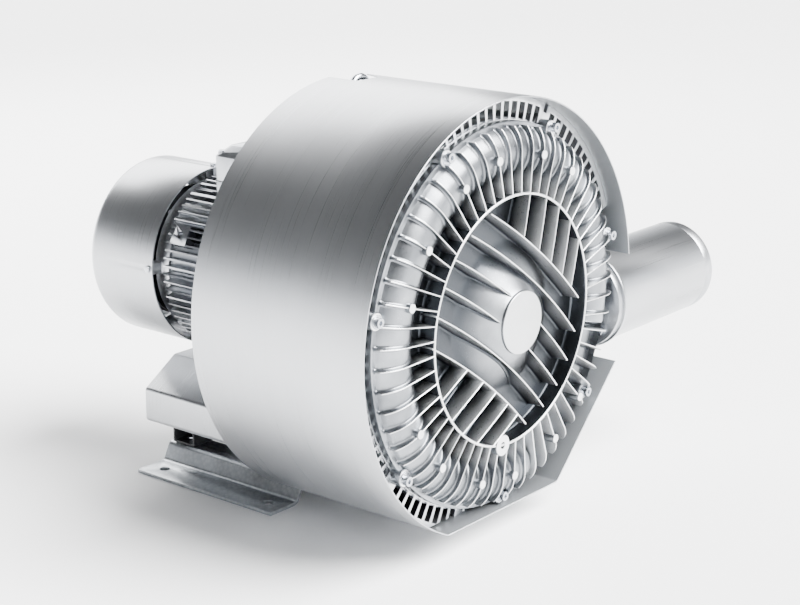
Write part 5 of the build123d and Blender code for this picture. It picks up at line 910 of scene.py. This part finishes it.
class BLOWER_OT_finishes(bpy.types.Operator):
    """Makes the materials and gives every carried-over node the one of its slot"""

    bl_idname = "blower.finishes"
    bl_label = "Finishes"
    bl_options = {"REGISTER", "UNDO"}

    def execute(self, context):
        made = make_finishes(context.scene.blower_colours)
        context.scene["blower_finishes"] = {slot: material.name for slot, material in made.items()}
        for node, piece in frame["nodes"].items():
            piece.data.materials.clear()
            piece.data.materials.append(made[SLOT_OF[node]])
        return {"FINISHED"}


class BLOWER_OT_cowl(bpy.types.Operator):
    """Bends the cowl from one rolled sheet"""

    bl_idname = "blower.cowl"
    bl_label = "Cowl"
    bl_options = {"REGISTER", "UNDO"}

    def execute(self, context):
        mesh = cowl_mesh(context.scene.blower_cowl)
        place_piece("cowl_sheet", mesh, finish("brushed_sheet"), ["cowl"])
        return {"FINISHED"}


class BLOWER_OT_cover(bpy.types.Operator):
    """Casts the front cover with its ribs, pads and lugs"""

    bl_idname = "blower.cover"
    bl_label = "Front cover"
    bl_options = {"REGISTER", "UNDO"}

    def execute(self, context):
        form = context.scene.blower_cover
        metal = finish("cover")
        place_piece("cover_body", cover_body_mesh(), metal, ["front_cover"])
        place_piece("cover_radial_ribs", radial_rib_mesh(form), metal)
        place_piece("cover_field_ribs", field_rib_mesh(form), metal)
        turn = form.rib_start + np.array(PAD_RIBS) * 2 * math.pi / form.rib_count
        pads = turned_bosses("cover_pads", PAD_R * np.cos(turn), PAD_R * np.sin(turn), PAD_SIZE, PAD_FACE,
                             FLANGE_FRONT, PAD_EDGE)
        place_piece("cover_pads", pads, metal)
        lug = np.array([LUG_ANGLE])
        lug_mesh = turned_bosses("cover_lifting_lug", RING_R * np.cos(lug), RING_R * np.sin(lug), LUG_R,
                                 RING_CREST - LUG_PROUD, FLANGE_BACK, LUG_EDGE, LUG_HOLE, LUG_HOLE_DEPTH)
        place_piece("cover_lifting_lug", lug_mesh, metal)
        x, z = bolt_places()
        lugs = turned_bosses("cover_bolt_lugs", x, z, BOLT_LUG_R, BOLT_LUG_FACE, FLANGE_BACK, BOLT_LUG_EDGE)
        place_piece("cover_bolt_lugs", lugs, metal)
        zinc = finish("zinc_fastener")
        rings = turned_bosses("bolt_washers", x, z, WASHER_R, BOLT_LUG_FACE - WASHER_THICK, BOLT_LUG_FACE,
                              WASHER_EDGE)
        place_piece("bolt_washers", rings, zinc, ["cover_washers"])
        bolts = dressed_mesh("cover_bolts", BOLT_BREAK)
        bolts.transform(Matrix.Translation((0, BOLT_SINK, 0)))
        place_piece("sunk_cover_bolts", bolts, zinc, ["cover_bolts"])
        return {"FINISHED"}


class BLOWER_OT_dressing(bpy.types.Operator):
    """Breaks the sharp edges of the carried-over pieces that show"""

    bl_idname = "blower.dressing"
    bl_label = "Dressed pieces"
    bl_options = {"REGISTER", "UNDO"}

    def execute(self, context):
        for node, edge in DRESSED.items():
            body = frame["nodes"][node]["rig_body"]
            slot = SLOT_OF[node]
            # The cross beams take the black paint, not their galvanised slot: painted shade for the dark
            # space under the duct.
            metal = finish("black_paint") if node == "cross_beams" else finish(slot)
            mesh = dressed_mesh(node, edge * MM, RESHAPED.get(node))
            place_piece("dressed_" + node, mesh, metal, [node], body)
        return {"FINISHED"}


class BLOWER_PT_panel(bpy.types.Panel):
    """Lists the blower's steps and sizes"""

    bl_idname = "BLOWER_PT_panel"
    bl_label = "Side channel blower"
    bl_space_type = "VIEW_3D"
    bl_region_type = "UI"
    bl_category = "Blower"

    def draw(self, context):
        for step in STEPS:
            self.layout.operator(step.bl_idname)
        for name in FORMS:
            group = getattr(context.scene, name)
            box = self.layout.box()
            for size in group.__annotations__:
                box.prop(group, size)


FORMS = {"blower_stage": StageLight, "blower_colours": MetalColours, "blower_cowl": CowlForm,
         "blower_cover": CoverForm}
STEPS = (BLOWER_OT_stage, BLOWER_OT_finishes, BLOWER_OT_cowl, BLOWER_OT_cover, BLOWER_OT_dressing)


def register():
    """Registers the sizes, the steps and the panel."""
    for name, form in FORMS.items():
        bpy.utils.register_class(form)
        setattr(bpy.types.Scene, name, bpy.props.PointerProperty(type=form))
    for step in STEPS:
        bpy.utils.register_class(step)
    bpy.utils.register_class(BLOWER_PT_panel)


def unregister():
    """Takes the panel, the steps and the sizes away again."""
    bpy.utils.unregister_class(BLOWER_PT_panel)
    for step in reversed(STEPS):
        bpy.utils.unregister_class(step)
    for name, form in FORMS.items():
        delattr(bpy.types.Scene, name)
        bpy.utils.unregister_class(form)


def main():
    """Runs the steps in order."""
    register()
    bpy.ops.blower.stage()
    bpy.ops.blower.finishes()
    bpy.ops.blower.cowl()
    bpy.ops.blower.cover()
    bpy.ops.blower.dressing()


if __name__ == "__main__":
    main()
